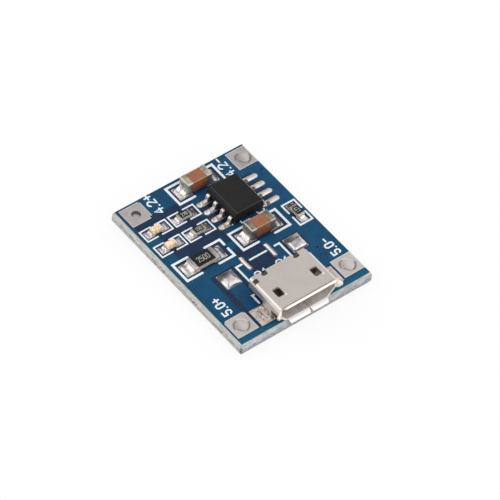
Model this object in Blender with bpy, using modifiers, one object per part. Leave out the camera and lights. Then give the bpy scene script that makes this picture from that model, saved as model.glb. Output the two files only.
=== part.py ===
# Lithium battery charger module: a small circuit board with a micro USB socket, a charge
# controller chip, two capacitors, four resistors, two indicator lights and four wire pads.
# Units are metres and Z is up. The origin is at the middle of the board's underside.
# The socket's mouth faces -Y.

import math

import bmesh
import bpy
from mathutils import Matrix, Vector

# Board: two faces of solder mask over a core, snapped out of a panel along V-shaped grooves
board_width = 0.0170
board_length = 0.0220
board_thickness = 0.0016
mask_thickness = 0.00003
score_depth = 0.00050
score_bulge = 0.00030
score_corner = 0.00028
mask_clearance = 0.00005
tin_rise = 0.00002
seat = 0.000005

# Wire pads: across, in shares of the room between the socket's side and the board's edge, and
# lengthwise from the nearest end of the board
wire_pad_share = 0.568
battery_plus_share = 0.354
battery_minus_share = 0.242
input_plus_share = 0.326
input_minus_share = 0.276
wire_pad_length = 0.00266
wire_pad_chamfer = 0.00025
wire_pad_notch = 0.00030
wire_hole_radius = 0.00050
wire_hole_plating = 0.00005
wire_dish_radius = 0.00085
wire_dish_depth = 0.000038
battery_pads_inset = 0.00156
input_plus_front = 0.00211
input_minus_front = 0.00217

# Charge controller: a moulded body on eight gull-wing leads
chip_width = 0.0039
chip_length = 0.0049
chip_height = 0.00145
chip_stand_off = 0.00015
chip_draft = 0.00012
chip_parting = 0.00010
chip_bevel = 0.00028
chip_edge = 0.00006
chip_mark_radius = 0.00030
chip_mark_depth = 0.00003
chip_shift = -0.00047
lead_pitch = 0.00127
lead_rows = 4
lead_span = 0.0060
lead_width = 0.00042
lead_thickness = 0.00020
lead_foot = 0.00065
lead_shoulder = 0.00022
lead_bend = 0.00016
chip_land_reach = 0.0040
chip_land_length = 0.0022
chip_land_width = 0.00063
lead_solder_height = 0.00011

# Large two-ended parts: the capacitors and the sense resistor share one footprint
capacitor_length = 0.0032
capacitor_width = 0.0016
capacitor_height = 0.0016
capacitor_band = 0.00070
capacitor_wrap = 0.00004
capacitor_edge = 0.00009
capacitor_climb = 0.00080
sense_length = 0.0032
sense_width = 0.0016
sense_height = 0.00055
sense_band = 0.00048
sense_wrap = 0.00003
large_land_reach = 0.0026
large_land_length = 0.0016
large_land_width = 0.00170

# Small two-ended parts: three resistors and two indicator lights share one footprint
small_length = 0.0016
small_width = 0.0008
small_height = 0.00045
small_band = 0.00030
small_wrap = 0.00003
light_base_height = 0.00025
light_band = 0.00018
light_lens_length = 0.00122
light_lens_width = 0.00078
light_lens_draft = 0.00006
light_height = 0.00064
small_land_reach = 0.00136
small_land_length = 0.00090
small_land_width = 0.00092
resistor_edge = 0.00004
resistor_coat = 0.00003

# Micro USB socket: a folded, flared sheet shell round an insulator with five contacts
shell_width = 0.0075
shell_height = 0.0025
shell_depth = 0.00515
shell_base = 0.0055
shell_knee = 0.00105
shell_sheet = 0.00025
shell_corner = 0.00032
shell_fold = 0.00030
shell_lift = 0.00005
shell_seam = 0.00005
shell_seam_shift = 0.00025
shell_overhang = 0.00015
shell_shift = -0.00025
lip_reach = 0.00030
lip_rise = 0.00026
ear_flare = 0.00055
ear_trim = 0.00034
apron_reach = 0.00042
apron_drop = 0.00026
lip_trim = 0.00018
lip_taper = 0.3  # the largest share of a lip's width that comes off each corner at a step
latch_window_width = 0.00088
latch_window_length = 0.00120
latch_window_inset = 0.00135
latch_window_spread = 0.00245
rear_notch_width = 0.00075
rear_notch_length = 0.00063
rear_notch_spread = 0.00210
side_slot_inset = 0.00045
side_slot_length = 0.00058
side_slot_drop = 0.00045
corner_step_width = 0.00034
corner_step_length = 0.00080
leg_width = 0.00140
leg_inset = 0.00135
leg_foot = 0.00050
leg_bend = 0.00030
leg_proud = 0.00001
insulator_depth = 0.00230
insulator_recess = 0.00010
tongue_width = 0.00350
tongue_thickness = 0.00060
tongue_height = 0.00125
tongue_setback = 0.00060
contact_pitch = 0.00065
contact_count = 5
contact_width = 0.00026
contact_thickness = 0.00012
contact_tip_gap = 0.00020
contact_foot = 0.00060
contact_bend = 0.00012
contact_land_width = 0.00040
contact_land_length = 0.00120
contact_solder_height = 0.00007

# Solder on the socket's anchors and on the unused lands behind it
footprint_offset = 0.00020
anchor_share = 0.347
anchor_tuck = 0.00055
anchor_length = 0.00230
anchor_climb = 0.00060
anchor_top_length = 0.00160
spare_reach = 0.00536
spare_width = 0.00190
spare_length = 0.00200
spare_inset = 0.00768
spare_height = 0.00036
spare_bare_strip = 0.00058
bar_spread = 0.00163
bar_width = 0.00044
bar_bow = 0.00006
bar_length = 0.00198
bar_inset = 0.00846
bar_height = 0.00012

# Vias through the board: in from the left or right edge, and along from the middle
via_radius = 0.00015
via_places = ((0.00676, 0.00046), (-0.00231, -0.00504))

# Places on the board, each measured from the edges that it was laid out from. The lights, the
# resistors beside them and the chip stand in one row, and share out the width that it leaves free.
capacitor_1_place = (0.00087, 0.00181)
capacitor_2_place = (0.00250, 0.00029)
sense_place = (0.00355, 0.00025)
resistor_3_place = (0.00117, -0.00010)
row_shares = (0.197, 0.239, 0.191)
chip_back = 0.00628
resistor_backs = (0.00472, 0.00720)
light_backs = (0.00460, 0.00714)

# Fineness of round shapes
corner_steps = 3
fillet_steps = 4
hole_sides = 20
weld = 1e-7
drawn_larger = 1000
land_rim = 0.00002
land_corner = 0.00020
overlap = 0.00002
past = 0.00020

left_edge = -board_width / 2
right_edge = board_width / 2
front_edge = -board_length / 2
rear_edge = board_length / 2
core_drop = -mask_thickness
side_room = right_edge - shell_width / 2
wire_pad_width = wire_pad_share * side_room
anchor_reach = shell_width / 2 + anchor_share * side_room
anchor_land_width = anchor_reach - shell_width / 2 + anchor_tuck
row_free = board_width - 4 * small_land_reach - 2 * chip_land_reach
lights_x = left_edge + row_shares[0] * row_free + small_land_reach
resistors_x = lights_x + 2 * small_land_reach + row_shares[1] * row_free
chip_x = resistors_x + small_land_reach + row_shares[2] * row_free + chip_land_reach
upright = Matrix.Rotation(math.pi / 2, 4, "X")
sideways = Matrix.Rotation(math.pi / 2, 4, "Z") @ upright

for old in list(bpy.data.objects):
    bpy.data.objects.remove(old, do_unlink=True)

module = bpy.data.collections.new("battery_charger_module")
bpy.context.scene.collection.children.link(module)
helpers = bpy.data.collections.new("cutters")
bpy.context.scene.collection.children.link(helpers)
helpers.hide_render = True

windows = []


# Finishes

def finish(name, colour, roughness, metallic=0.0):
    material = bpy.data.materials.new(name)
    material.use_nodes = True
    shader = material.node_tree.nodes["Principled BSDF"]
    shader.inputs["Base Color"].default_value = (*colour, 1)
    shader.inputs["Roughness"].default_value = roughness
    shader.inputs["Metallic"].default_value = metallic
    material.diffuse_color = (*colour, 1)
    return material


glass_epoxy = finish("glass_epoxy", (0.50, 0.55, 0.56), 0.75)
blue_mask = finish("blue_solder_mask", (0.016, 0.085, 0.185), 0.35)
tin = finish("tinned_copper", (0.60, 0.57, 0.55), 0.40, 1.0)
solder = finish("bright_solder", (0.72, 0.71, 0.70), 0.25, 1.0)
moulded_black = finish("moulded_epoxy", (0.012, 0.012, 0.014), 0.60)
brown_ceramic = finish("brown_ceramic", (0.36, 0.16, 0.08), 0.50)
white_ceramic = finish("white_ceramic", (0.72, 0.72, 0.70), 0.60)
black_glaze = finish("resistor_overcoat", (0.010, 0.010, 0.012), 0.40)
clear_resin = finish("clear_resin", (0.75, 0.78, 0.70), 0.20)
nickel = finish("nickel_plated_steel", (0.60, 0.56, 0.52), 0.28, 1.0)
dark_nylon = finish("insulator_nylon", (0.05, 0.04, 0.03), 0.55)
gold = finish("plated_contact", (0.75, 0.52, 0.22), 0.30, 1.0)


# Outlines in a plane, each a list of points that runs anticlockwise

def rectangle(left, right, front, back):
    return [Vector((left, front)), Vector((right, front)), Vector((right, back)), Vector((left, back))]


def mitre(before, here, after):
    """The sideways step at a corner that moves both of its sides out by one unit."""
    first = (here - before).normalized()
    second = (after - here).normalized()
    out_1 = Vector((first.y, -first.x))
    out_2 = Vector((second.y, -second.x))
    return (out_1 + out_2) / (1 + out_1.dot(out_2))


def grown(outline, distance):
    """The outline with every side moved out by a distance."""
    count = len(outline)
    return [
        outline[i] + distance * mitre(outline[i - 1], outline[i], outline[(i + 1) % count])
        for i in range(count)
    ]


def rounded(outline, radii, steps=corner_steps):
    """The outline with an arc at each corner that has a radius."""
    points = []
    for i, radius in enumerate(radii):
        here = outline[i]
        if not radius:
            points.append(here)
            continue
        to_before = (outline[i - 1] - here).normalized()
        to_after = (outline[(i + 1) % len(outline)] - here).normalized()
        half = to_before.angle(to_after) / 2
        centre = here + (to_before + to_after).normalized() * radius / math.sin(half)
        start = here + to_before * radius / math.tan(half) - centre
        turn = (math.pi - 2 * half) * (1 if to_after.cross(to_before) > 0 else -1)
        for step in range(steps + 1):
            points.append(centre + Matrix.Rotation(turn * step / steps, 2) @ start)
    return points


def oval(left, right, front, back):
    """A rectangle whose short ends are round."""
    radius = 0.49 * min(right - left, back - front)
    return rounded(rectangle(left, right, front, back), [radius] * 4)


def strip(path, thickness):
    """The outline of a bent strip of even thickness along an open path."""
    ahead = [2 * path[0] - path[1], *path, 2 * path[-1] - path[-2]]
    steps = [mitre(*ahead[i:i + 3]) * thickness / 2 for i in range(len(path))]
    right = [point + step for point, step in zip(path, steps)]
    left = [point - step for point, step in zip(path, steps)]
    return right + left[::-1]


# Solids, each a mesh in the making

def block(left, right, front, back, low, high, edge=0.0, upright_only=False):
    """A box, with its edges rounded if asked: all of them, or only the upright ones."""
    bm = bmesh.new()
    bmesh.ops.create_cube(bm, size=1)
    bmesh.ops.scale(bm, verts=bm.verts, vec=(right - left, back - front, high - low))
    middle = Vector((left + right, front + back, low + high)) / 2
    bmesh.ops.translate(bm, verts=bm.verts, vec=middle)
    if edge:
        edges = [
            e for e in bm.edges
            if not upright_only or abs(e.verts[0].co.z - e.verts[1].co.z) > weld
        ]
        bmesh.ops.bevel(bm, geom=edges, offset=edge, segments=2, profile=0.5, affect="EDGES")
    return bm


def cylinder(x, y, radius, low, high):
    bm = bmesh.new()
    place = Matrix.Translation((x, y, (low + high) / 2))
    bmesh.ops.create_cone(
        bm, cap_ends=True, segments=hole_sides, radius1=radius, radius2=radius,
        depth=high - low, matrix=place,
    )
    return bm


def plate(outline, low, high, turned=Matrix.Identity(4)):
    """A flat piece between two heights, or turned to stand in another plane.

    It is drawn large and scaled down, because a curve's fill joins points under 0.03 mm apart.
    """
    curve = bpy.data.curves.new("outline", "CURVE")
    curve.dimensions = "2D"
    curve.fill_mode = "BOTH"
    curve.extrude = (high - low) / 2 * drawn_larger
    spline = curve.splines.new("POLY")
    spline.points.add(len(outline) - 1)
    for point, place in zip(spline.points, outline):
        point.co = (place.x * drawn_larger, place.y * drawn_larger, 0, 1)
    spline.use_cyclic_u = True
    bm = taken(bpy.data.objects.new("outline", curve))
    bmesh.ops.remove_doubles(bm, verts=bm.verts, dist=weld * drawn_larger)
    bmesh.ops.recalc_face_normals(bm, faces=bm.faces)
    bm.transform(turned @ Matrix.Translation((0, 0, (low + high) / 2)) @ Matrix.Scale(1 / drawn_larger, 4))
    return bm


def stacked(rings):
    """A solid through level outlines of as many points each, lowest first."""
    bm = bmesh.new()
    loops = [[bm.verts.new((point.x, point.y, z)) for point in outline] for outline, z in rings]
    bm.faces.new(loops[0][::-1])
    bm.faces.new(loops[-1])
    for low, high in zip(loops, loops[1:]):
        for i in range(len(low)):
            bm.faces.new((low[i - 1], low[i], high[i], high[i - 1]))
    return bm


def turned_solid(profile):
    """A round solid from the points of its outer side, top to bottom."""
    mesh = bpy.data.meshes.new("profile")
    points = [(radius, 0, z) for radius, z in profile]
    mesh.from_pydata(points, [(i, i + 1) for i in range(len(points) - 1)], [])
    turning = bpy.data.objects.new("profile", mesh)
    screw = turning.modifiers.new("turn", "SCREW")
    screw.steps = hole_sides
    screw.render_steps = hole_sides
    screw.use_merge_vertices = True
    screw.merge_threshold = weld
    bm = taken(turning)
    bmesh.ops.recalc_face_normals(bm, faces=bm.faces)
    return bm


def taken(obj):
    """The shape of a loose object with its modifiers applied. The object goes."""
    helpers.objects.link(obj)
    graph = bpy.context.evaluated_depsgraph_get()
    mesh = bpy.data.meshes.new_from_object(obj.evaluated_get(graph))
    bm = bmesh.new()
    bm.from_mesh(mesh)
    bpy.data.meshes.remove(mesh)
    bpy.data.objects.remove(obj, do_unlink=True)
    return bm


def loose(bm):
    bmesh.ops.triangulate(bm, faces=bm.faces)
    mesh = bpy.data.meshes.new("solid")
    bm.to_mesh(mesh)
    bm.free()
    return bpy.data.objects.new("solid", mesh)


def combined(base, added=(), removed=(), solver="EXACT"):
    """One solid, after others are joined to it and then others are cut from it."""
    target = loose(base)
    operands = []
    for operation, solids in (("UNION", added), ("DIFFERENCE", removed)):
        for solid in solids:
            operand = loose(solid)
            helpers.objects.link(operand)
            operands.append(operand)
            step = target.modifiers.new(operation.lower(), "BOOLEAN")
            step.operation = operation
            step.solver = solver
            step.object = operand
    bm = taken(target)
    for operand in operands:
        bpy.data.objects.remove(operand, do_unlink=True)
    return bm


def turned_over(bm, turn):
    bm.transform(turn)
    if turn.determinant() < 0:
        bmesh.ops.reverse_faces(bm, faces=bm.faces)
    return bm


# Pieces and places

def place_at(name, x, y, angle=0.0):
    """A footprint's middle on the board's upper face, which carries the pieces that stand there."""
    place = bpy.data.objects.new(name + "_place", None)
    place.location = (x, y, board_thickness)
    place.rotation_euler.z = angle
    module.objects.link(place)
    return place


def finished(bm, material, smooth_angle=0.7):
    """A solid's mesh in its finish, smooth where its faces meet at less than the angle."""
    mesh = bpy.data.meshes.new(material.name)
    bm.to_mesh(mesh)
    bm.free()
    mesh.materials.append(material)
    mesh.shade_smooth()
    mesh.set_sharp_from_angle(angle=smooth_angle)
    return mesh


def piece(name, mesh, place=None):
    """A sub-part, standing where its place is."""
    obj = bpy.data.objects.new(name, mesh)
    obj.parent = place
    module.objects.link(obj)
    return obj


def open_window(outline, place=None, turn=0.0):
    """Leaves the mask open over a land."""
    spin = Matrix.Rotation(turn, 2)
    points = [spin @ point for point in grown(outline, mask_clearance)]
    if place:
        spin = Matrix.Rotation(place.rotation_euler.z, 2)
        points = [spin @ point + place.location.xy for point in points]
    windows.append(points)


# Solder

def flat_mound(left, right, front, back, height):
    """A land with a low, soft-sided pool of solder on it."""
    land = oval(left, right, front, back)
    depth = min(right - left, back - front)
    rings = [(land, core_drop), (land, tin_rise)]
    for step in range(fillet_steps):
        share = step / (fillet_steps - 1)
        inset = land_rim + 0.30 * depth * (1 - math.cos(share * math.pi / 2))
        rings.append((grown(land, -inset), tin_rise + height * math.sin(share * math.pi / 2)))
    return stacked(rings[:2] + rings[3:])


def soldered(base, added=(), removed=()):
    """A solder joint's solids made one. The exact solver loses such small curved ones."""
    return combined(base, added, removed, "MANIFOLD")


def climbing_solder(face, land_left, land_right, land_width, top_width, climb):
    """A land with solder drawn up an upright face that looks towards +X."""
    def ring(left, right, width, z):
        corner = 0.3 * min(right - left, width)
        outline = rectangle(left, right, -width / 2, width / 2)
        return rounded(outline, [0, corner, corner, 0]), z
    rings = [ring(land_left, land_right, land_width, z) for z in (core_drop, tin_rise)]
    for step in range(1, fillet_steps + 1):
        angle = step / fillet_steps * math.pi / 2
        spread = 1 - math.sin(angle)
        reach = face + (land_right - land_rim - face) * spread
        width = top_width + (land_width - 2 * land_rim - top_width) * spread
        left = face - 3 * overlap
        height = tin_rise + climb * (1 - math.cos(angle))
        rings.append(ring(left, max(reach, left + 2 * overlap), width, height))
    return stacked(rings)


# Board

def wire_pad_outline(x, y, chamfered, notched):
    """A square pad round a hole, cut off where the board ends."""
    left = x - wire_pad_width / 2
    right = min(x + wire_pad_width / 2, right_edge)
    outline = rectangle(left, right, y - wire_pad_length / 2, y + wire_pad_length / 2)
    points = []
    for i, here in enumerate(outline):
        back = (outline[i - 1] - here).normalized()
        ahead = (outline[(i + 1) % 4] - here).normalized()
        if i in chamfered:
            points += [here + back * wire_pad_chamfer, here + ahead * wire_pad_chamfer]
        elif i in notched:
            inner = here + (back + ahead) * wire_pad_notch
            points += [here + back * wire_pad_notch, inner, here + ahead * wire_pad_notch]
        else:
            points.append(here)
    return points


def wire_pad(name, x, y, filled, chamfered=(), notched=()):
    """A plated pad on both faces, joined by its barrel: open, or full of solder with a dish in it."""
    outline = wire_pad_outline(x, y, chamfered, notched)
    top = board_thickness + tin_rise
    skin_low = board_thickness - mask_thickness
    barrel = wire_hole_radius + wire_hole_plating
    upper = plate(outline, skin_low, top)
    lower = plate(outline, 0, mask_thickness)
    tube = cylinder(x, y, barrel, mask_thickness / 2, skin_low + mask_thickness / 2)
    if filled:
        dish = turned_solid([
            (0, past),
            (wire_dish_radius, past),
            (wire_dish_radius, 0),
            (0.95 * wire_dish_radius, -0.75 * wire_dish_depth),
            (0.89 * wire_dish_radius, -wire_dish_depth),
            (0.72 * wire_dish_radius, -0.80 * wire_dish_depth),
            (0.40 * wire_dish_radius, -0.40 * wire_dish_depth),
            (0, -0.25 * wire_dish_depth),
        ])
        cut = turned_over(dish, Matrix.Translation((x, y, top)))
    else:
        cut = cylinder(x, y, wire_hole_radius, -past, top + past)
    piece(name, finished(combined(upper, [tube, lower], [cut]), tin))
    return grown(outline, mask_clearance)


def board():
    """The core, its skins of mask with a window over each land, and the four wire pads."""
    rear_y = rear_edge - battery_pads_inset
    front_ys = (front_edge + input_plus_front, front_edge + input_minus_front)
    pads = [
        ("battery_plus_pad", left_edge + battery_plus_share * side_room, rear_y, False, (2,), (1,)),
        ("battery_minus_pad", right_edge - battery_minus_share * side_room, rear_y, True, ()),
        ("input_plus_pad", left_edge + input_plus_share * side_room, front_ys[0], True, (2, 3)),
        ("input_minus_pad", right_edge - input_minus_share * side_room, front_ys[1], True, ()),
    ]
    pad_windows = [wire_pad(*pad) for pad in pads]

    core_low = mask_thickness
    core_high = board_thickness - mask_thickness
    half_width = right_edge + score_bulge
    half_length = rear_edge + score_bulge
    core = block(
        -half_width, half_width, -half_length, half_length,
        core_low + score_depth, core_high - score_depth,
    )
    core.normal_update()
    for face in [f for f in core.faces if abs(f.normal.z) > 0.5]:
        bmesh.ops.inset_region(
            core, faces=[face], thickness=score_bulge, depth=score_depth, use_even_offset=True
        )
    corners = [
        e for e in core.edges
        if all(abs(v.co.x) > right_edge + weld for v in e.verts)
        and (e.verts[0].co.xy - e.verts[1].co.xy).length < weld
    ]
    bmesh.ops.bevel(core, geom=corners, offset=score_corner, segments=2, affect="EDGES")
    barrel = wire_hole_radius + wire_hole_plating + seat
    holes = [cylinder(x, y, barrel, -past, board_thickness + past) for _, x, y, *_ in pads]
    vias = [(x + (left_edge if x > 0 else right_edge), y) for x, y in via_places]
    holes += [cylinder(x, y, via_radius, -past, board_thickness + past) for x, y in vias]
    piece("board_core", finished(combined(core, (), holes), glass_epoxy))

    for name, low, openings in (
        ("solder_mask_top", core_high, windows + pad_windows),
        ("solder_mask_bottom", 0, pad_windows),
    ):
        skin = block(left_edge, right_edge, front_edge, rear_edge, low, low + mask_thickness)
        prisms = [
            stacked([(outline, low - past), (outline, low + mask_thickness + past)])
            for outline in openings
        ]
        prisms += [cylinder(x, y, via_radius, low - past, low + mask_thickness + past) for x, y in vias]
        piece(name, finished(combined(skin, (), prisms, "MANIFOLD"), blue_mask))


# Charge controller

def chip():
    place = place_at("chip", chip_x, rear_edge - chip_back)
    half_width = chip_width / 2
    half_length = chip_length / 2
    middle = chip_stand_off + chip_height / 2
    shell = (chip_height - chip_parting) / 2
    body = block(
        chip_shift - half_width, chip_shift + half_width, -half_length, half_length,
        middle - chip_parting / 2, middle + chip_parting / 2,
    )
    body.normal_update()
    for face in [f for f in body.faces if abs(f.normal.z) > 0.5]:
        bmesh.ops.inset_region(
            body, faces=[face], thickness=chip_draft, depth=shell, use_even_offset=True
        )
    top = chip_stand_off + chip_height
    left_top = [
        e for e in body.edges
        if all(v.co.z > top - weld and v.co.x < chip_shift for v in e.verts)
    ]
    bmesh.ops.bevel(body, geom=left_top, offset=chip_bevel, segments=1, affect="EDGES")
    other_tops = [
        e for e in body.edges
        if all(v.co.z > top - weld for v in e.verts) and max(v.co.x for v in e.verts) > chip_shift
    ]
    bmesh.ops.bevel(body, geom=other_tops, offset=chip_edge, segments=1, affect="EDGES")
    mark_x = chip_shift + half_width - chip_draft - 3 * chip_mark_radius
    mark_y = -half_length + chip_draft + 3 * chip_mark_radius
    mark = cylinder(mark_x, mark_y, chip_mark_radius, top - chip_mark_depth, top + past)
    piece("chip_body", finished(combined(body, (), [mark]), moulded_black), place)

    for side in (-1, 1):
        mesh = lead_mesh(side)
        for row in range(lead_rows):
            y = (row - (lead_rows - 1) / 2) * lead_pitch
            number = row + 1 if side > 0 else 2 * lead_rows - row
            lead = piece(f"chip_lead_{number}", mesh, place)
            lead.location.y = y
            land = oval(*lead_land(), -chip_land_width / 2, chip_land_width / 2)
            if side < 0:
                land = [-point for point in land]
            open_window([point + Vector((0, y)) for point in land], place)


def lead_land():
    return chip_land_reach - chip_land_length, chip_land_reach


def lead_mesh(side):
    """One gull-wing lead in its solder: out of the body, down, and flat along its land."""
    shift = side * chip_shift
    start = shift + chip_width / 2 + seat
    toe = shift + lead_span / 2
    heel = toe - lead_foot
    middle = chip_stand_off + chip_height / 2
    foot = tin_rise / 2 + lead_thickness / 2
    path = [
        Vector((start, middle)),
        Vector((start + lead_shoulder, middle)),
        Vector((heel, foot)),
        Vector((toe, foot)),
    ]
    path = rounded(path, [0, lead_bend, lead_bend, 0])
    lead = plate(strip(path, lead_thickness), -lead_width / 2, lead_width / 2, upright)
    land_left, land_right = lead_land()
    half = chip_land_width / 2
    land = oval(land_left, land_right, -half, half)
    pad = stacked([(land, core_drop), (land, tin_rise)])
    rim = half - land_rim
    pool = flat_mound(heel - half, land_right - land_rim, -rim, rim, lead_solder_height)
    bm = soldered(pad, [pool, lead])
    if side < 0:
        turned_over(bm, Matrix.Rotation(math.pi, 4, "Z"))
    return finished(bm, solder)


# Two-ended parts

def end_mesh(length, width, height, band, wrap, edge, wraps_sides, lands, climb):
    """The metal end of a chip part at +X, with the solder that joins it to its land."""
    reach, land_length, land_width = lands
    half = width / 2
    face = length / 2
    fillet = climbing_solder(face, reach - land_length, reach, land_width, width - 4 * edge, climb)
    cap = block(face - band, face, -half, half, 0, height, edge)
    thin = wrap - seat
    side = half - thin if wraps_sides else half + past
    pocket = block(
        -face + thin, face - thin, -side, side, thin, height - thin, max(edge - thin, seat)
    )
    return finished(soldered(fillet, [cap], [pocket]), solder)


def ends(name, place, mesh, lands):
    """The same end at +X and, turned round, at -X."""
    reach, land_length, land_width = lands
    land = rectangle(reach - land_length, reach, -land_width / 2, land_width / 2)
    for side, turn in (("right", 0.0), ("left", math.pi)):
        end = piece(f"{name}_end_{side}", mesh, place)
        end.rotation_euler.z = turn
        open_window(land, place, turn)


def ceramic(length, width, height, wrap, edge, wraps_sides):
    half = width / 2 - (wrap if wraps_sides else 0)
    face = length / 2 - wrap
    return block(-face, face, -half, half, wrap, height - wrap, edge - wrap)


def two_ended_parts():
    large = (large_land_reach, large_land_length, large_land_width)
    small = (small_land_reach, small_land_length, small_land_width)

    sizes = (capacitor_length, capacitor_width, capacitor_height)
    mesh = end_mesh(
        *sizes, capacitor_band, capacitor_wrap, capacitor_edge, True, large, capacitor_climb
    )
    for number, x, y in (
        (1, capacitor_1_place[0], rear_edge - capacitor_1_place[1]),
        (2, *capacitor_2_place),
    ):
        place = place_at(f"capacitor_{number}", x, y)
        body = ceramic(*sizes, capacitor_wrap, capacitor_edge, True)
        piece(f"capacitor_{number}_ceramic", finished(body, brown_ceramic), place)
        ends(f"capacitor_{number}", place, mesh, large)

    sizes = (sense_length, sense_width, sense_height)
    mesh = end_mesh(*sizes, sense_band, sense_wrap, resistor_edge, False, large, 0.8 * sense_height)
    place = place_at("sense_resistor", left_edge + sense_place[0], sense_place[1])
    resistor("sense_resistor", place, sizes, sense_band, sense_wrap)
    ends("sense_resistor", place, mesh, large)

    sizes = (small_length, small_width, small_height)
    mesh = end_mesh(*sizes, small_band, small_wrap, resistor_edge, False, small, 0.8 * small_height)
    for number, x, y, turn in (
        (1, resistors_x, rear_edge - resistor_backs[0], 0.0),
        (2, resistors_x, rear_edge - resistor_backs[1], 0.0),
        (3, right_edge - resistor_3_place[0], resistor_3_place[1], math.pi / 2),
    ):
        place = place_at(f"resistor_{number}", x, y, turn)
        resistor(f"resistor_{number}", place, sizes, small_band, small_wrap)
        ends(f"resistor_{number}", place, mesh, small)

    sizes = (small_length, small_width, light_base_height)
    mesh = end_mesh(
        *sizes, light_band, small_wrap, resistor_edge, False, small, 0.9 * light_base_height
    )
    for number, back in enumerate(light_backs, 1):
        place = place_at(f"light_{number}", lights_x, rear_edge - back)
        base = ceramic(*sizes, small_wrap, resistor_edge, False)
        piece(f"light_{number}_base", finished(base, white_ceramic), place)
        lens_low = light_base_height - small_wrap + seat
        half_length = min(light_lens_length, small_length - 2 * light_band - 2 * seat) / 2
        half_width = light_lens_width / 2
        foot = rectangle(-half_length, half_length, -half_width, half_width)
        lens = stacked([
            (foot, lens_low),
            (grown(foot, -light_lens_draft / 2), (lens_low + light_height) / 2),
            (grown(foot, -light_lens_draft), light_height - resistor_edge),
            (grown(foot, -light_lens_draft - resistor_edge), light_height),
        ])
        piece(f"light_{number}_lens", finished(lens, clear_resin), place)
        ends(f"light_{number}", place, mesh, small)


def resistor(name, place, sizes, band, wrap):
    """A ceramic block with a dark overcoat on top, between its ends."""
    length, width, height = sizes
    body = ceramic(*sizes, wrap, resistor_edge, False)
    piece(f"{name}_ceramic", finished(body, white_ceramic), place)
    half_length = length / 2 - band - seat
    half_width = width / 2 - resistor_edge
    low = height - wrap + seat
    coat = plate(
        rectangle(-half_length, half_length, -half_width, half_width), low, low + resistor_coat + wrap
    )
    piece(f"{name}_overcoat", finished(coat, black_glaze), place)


# Micro USB socket

def socket_outline(inset):
    """The socket's section, square at the top and drawn in below the knee, from its lower right."""
    half = shell_width / 2
    base = shell_base / 2
    sharp = [
        Vector((base, 0)),
        Vector((half, shell_knee)),
        Vector((half, shell_height)),
        Vector((-half, shell_height)),
        Vector((-half, shell_knee)),
        Vector((-base, 0)),
    ]
    corner = max(shell_corner - inset, overlap)
    fold = max(shell_fold - inset, overlap)
    return rounded(grown(sharp, -inset), [fold, fold, corner, corner, fold, fold])


def shell_surface():
    """The outside of the sheet: the folded section with its flared lips, open at the seam."""
    section = socket_outline(0)
    seam = shell_seam_shift
    path = [Vector((seam + shell_seam / 2, 0)), *section, Vector((seam - shell_seam / 2, 0))]
    bm = bmesh.new()
    rear = [bm.verts.new((point.x, shell_depth, point.y)) for point in path]
    edges = [bm.edges.new(pair) for pair in zip(rear, rear[1:])]
    grown_wall = bmesh.ops.extrude_edge_only(bm, edges=edges)["geom"]
    front = [v for v in grown_wall if isinstance(v, bmesh.types.BMVert)]
    bmesh.ops.translate(bm, verts=front, vec=(0, -shell_depth, 0))
    rim = [e for e in grown_wall if isinstance(e, bmesh.types.BMEdge) and all(v in front for v in e.verts)]
    half = shell_width / 2

    def lip(is_on, reach, flare, along, trim=lip_trim):
        """A flap curled out of the rim in two steps, with its corners taken off."""
        chosen = [e for e in rim if all(is_on(v.co) for v in e.verts)]
        for share in (0.35, 0.65):
            made = bmesh.ops.extrude_edge_only(bm, edges=chosen)["geom"]
            tips = [v for v in made if isinstance(v, bmesh.types.BMVert)]
            bmesh.ops.translate(bm, verts=tips, vec=Vector((0, -reach / 2, 0)) + share * Vector(flare))
            low = min(v.co[along] for v in tips)
            high = max(v.co[along] for v in tips)
            taken_off = min(share * trim, lip_taper * (high - low))
            for v in tips:
                if high - v.co[along] < weld:
                    v.co[along] -= taken_off
                elif v.co[along] - low < weld:
                    v.co[along] += taken_off
            chosen = [
                e for e in made
                if isinstance(e, bmesh.types.BMEdge) and all(v in tips for v in e.verts)
            ]

    lip(lambda co: co.z > shell_height - weld, lip_reach, (0, 0, lip_rise), 0)
    lip(lambda co: co.x > half - weld, lip_reach, (ear_flare, 0, 0), 2, ear_trim)
    lip(lambda co: co.x < -half + weld, lip_reach, (-ear_flare, 0, 0), 2, ear_trim)
    lip(lambda co: co.z < weld and co.x > seam, apron_reach, (0, 0, -apron_drop), 0)
    lip(lambda co: co.z < weld and co.x < seam, apron_reach, (0, 0, -apron_drop), 0)
    bm.normal_update()
    bmesh.ops.recalc_face_normals(bm, faces=bm.faces)
    if max(bm.faces, key=lambda f: f.calc_center_median().z * (abs(f.normal.z) > 0.99)).normal.z < 0:
        bmesh.ops.reverse_faces(bm, faces=bm.faces)
    return bm


def leg_path(side):
    """The middle of a leg's sheet: down from the side wall, then out along the board."""
    wall = shell_width / 2 - shell_sheet / 2 + leg_proud
    sole = tin_rise + seat + shell_sheet / 2 - shell_lift
    path = [
        Vector((side * wall, shell_knee + 2 * shell_fold)),
        Vector((side * wall, sole)),
        Vector((side * (wall + shell_sheet / 2 + leg_foot), sole)),
    ]
    return rounded(path, [0, leg_bend, 0])


def leg(side, thickness, longer=0.0):
    """The leg is drawn in X and Z and is as wide as the cut that freed it from the wall."""
    outline = strip(leg_path(side), thickness)
    low = leg_inset - longer
    high = leg_inset + leg_width + longer
    return plate(outline, -high, -low, upright)


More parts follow.
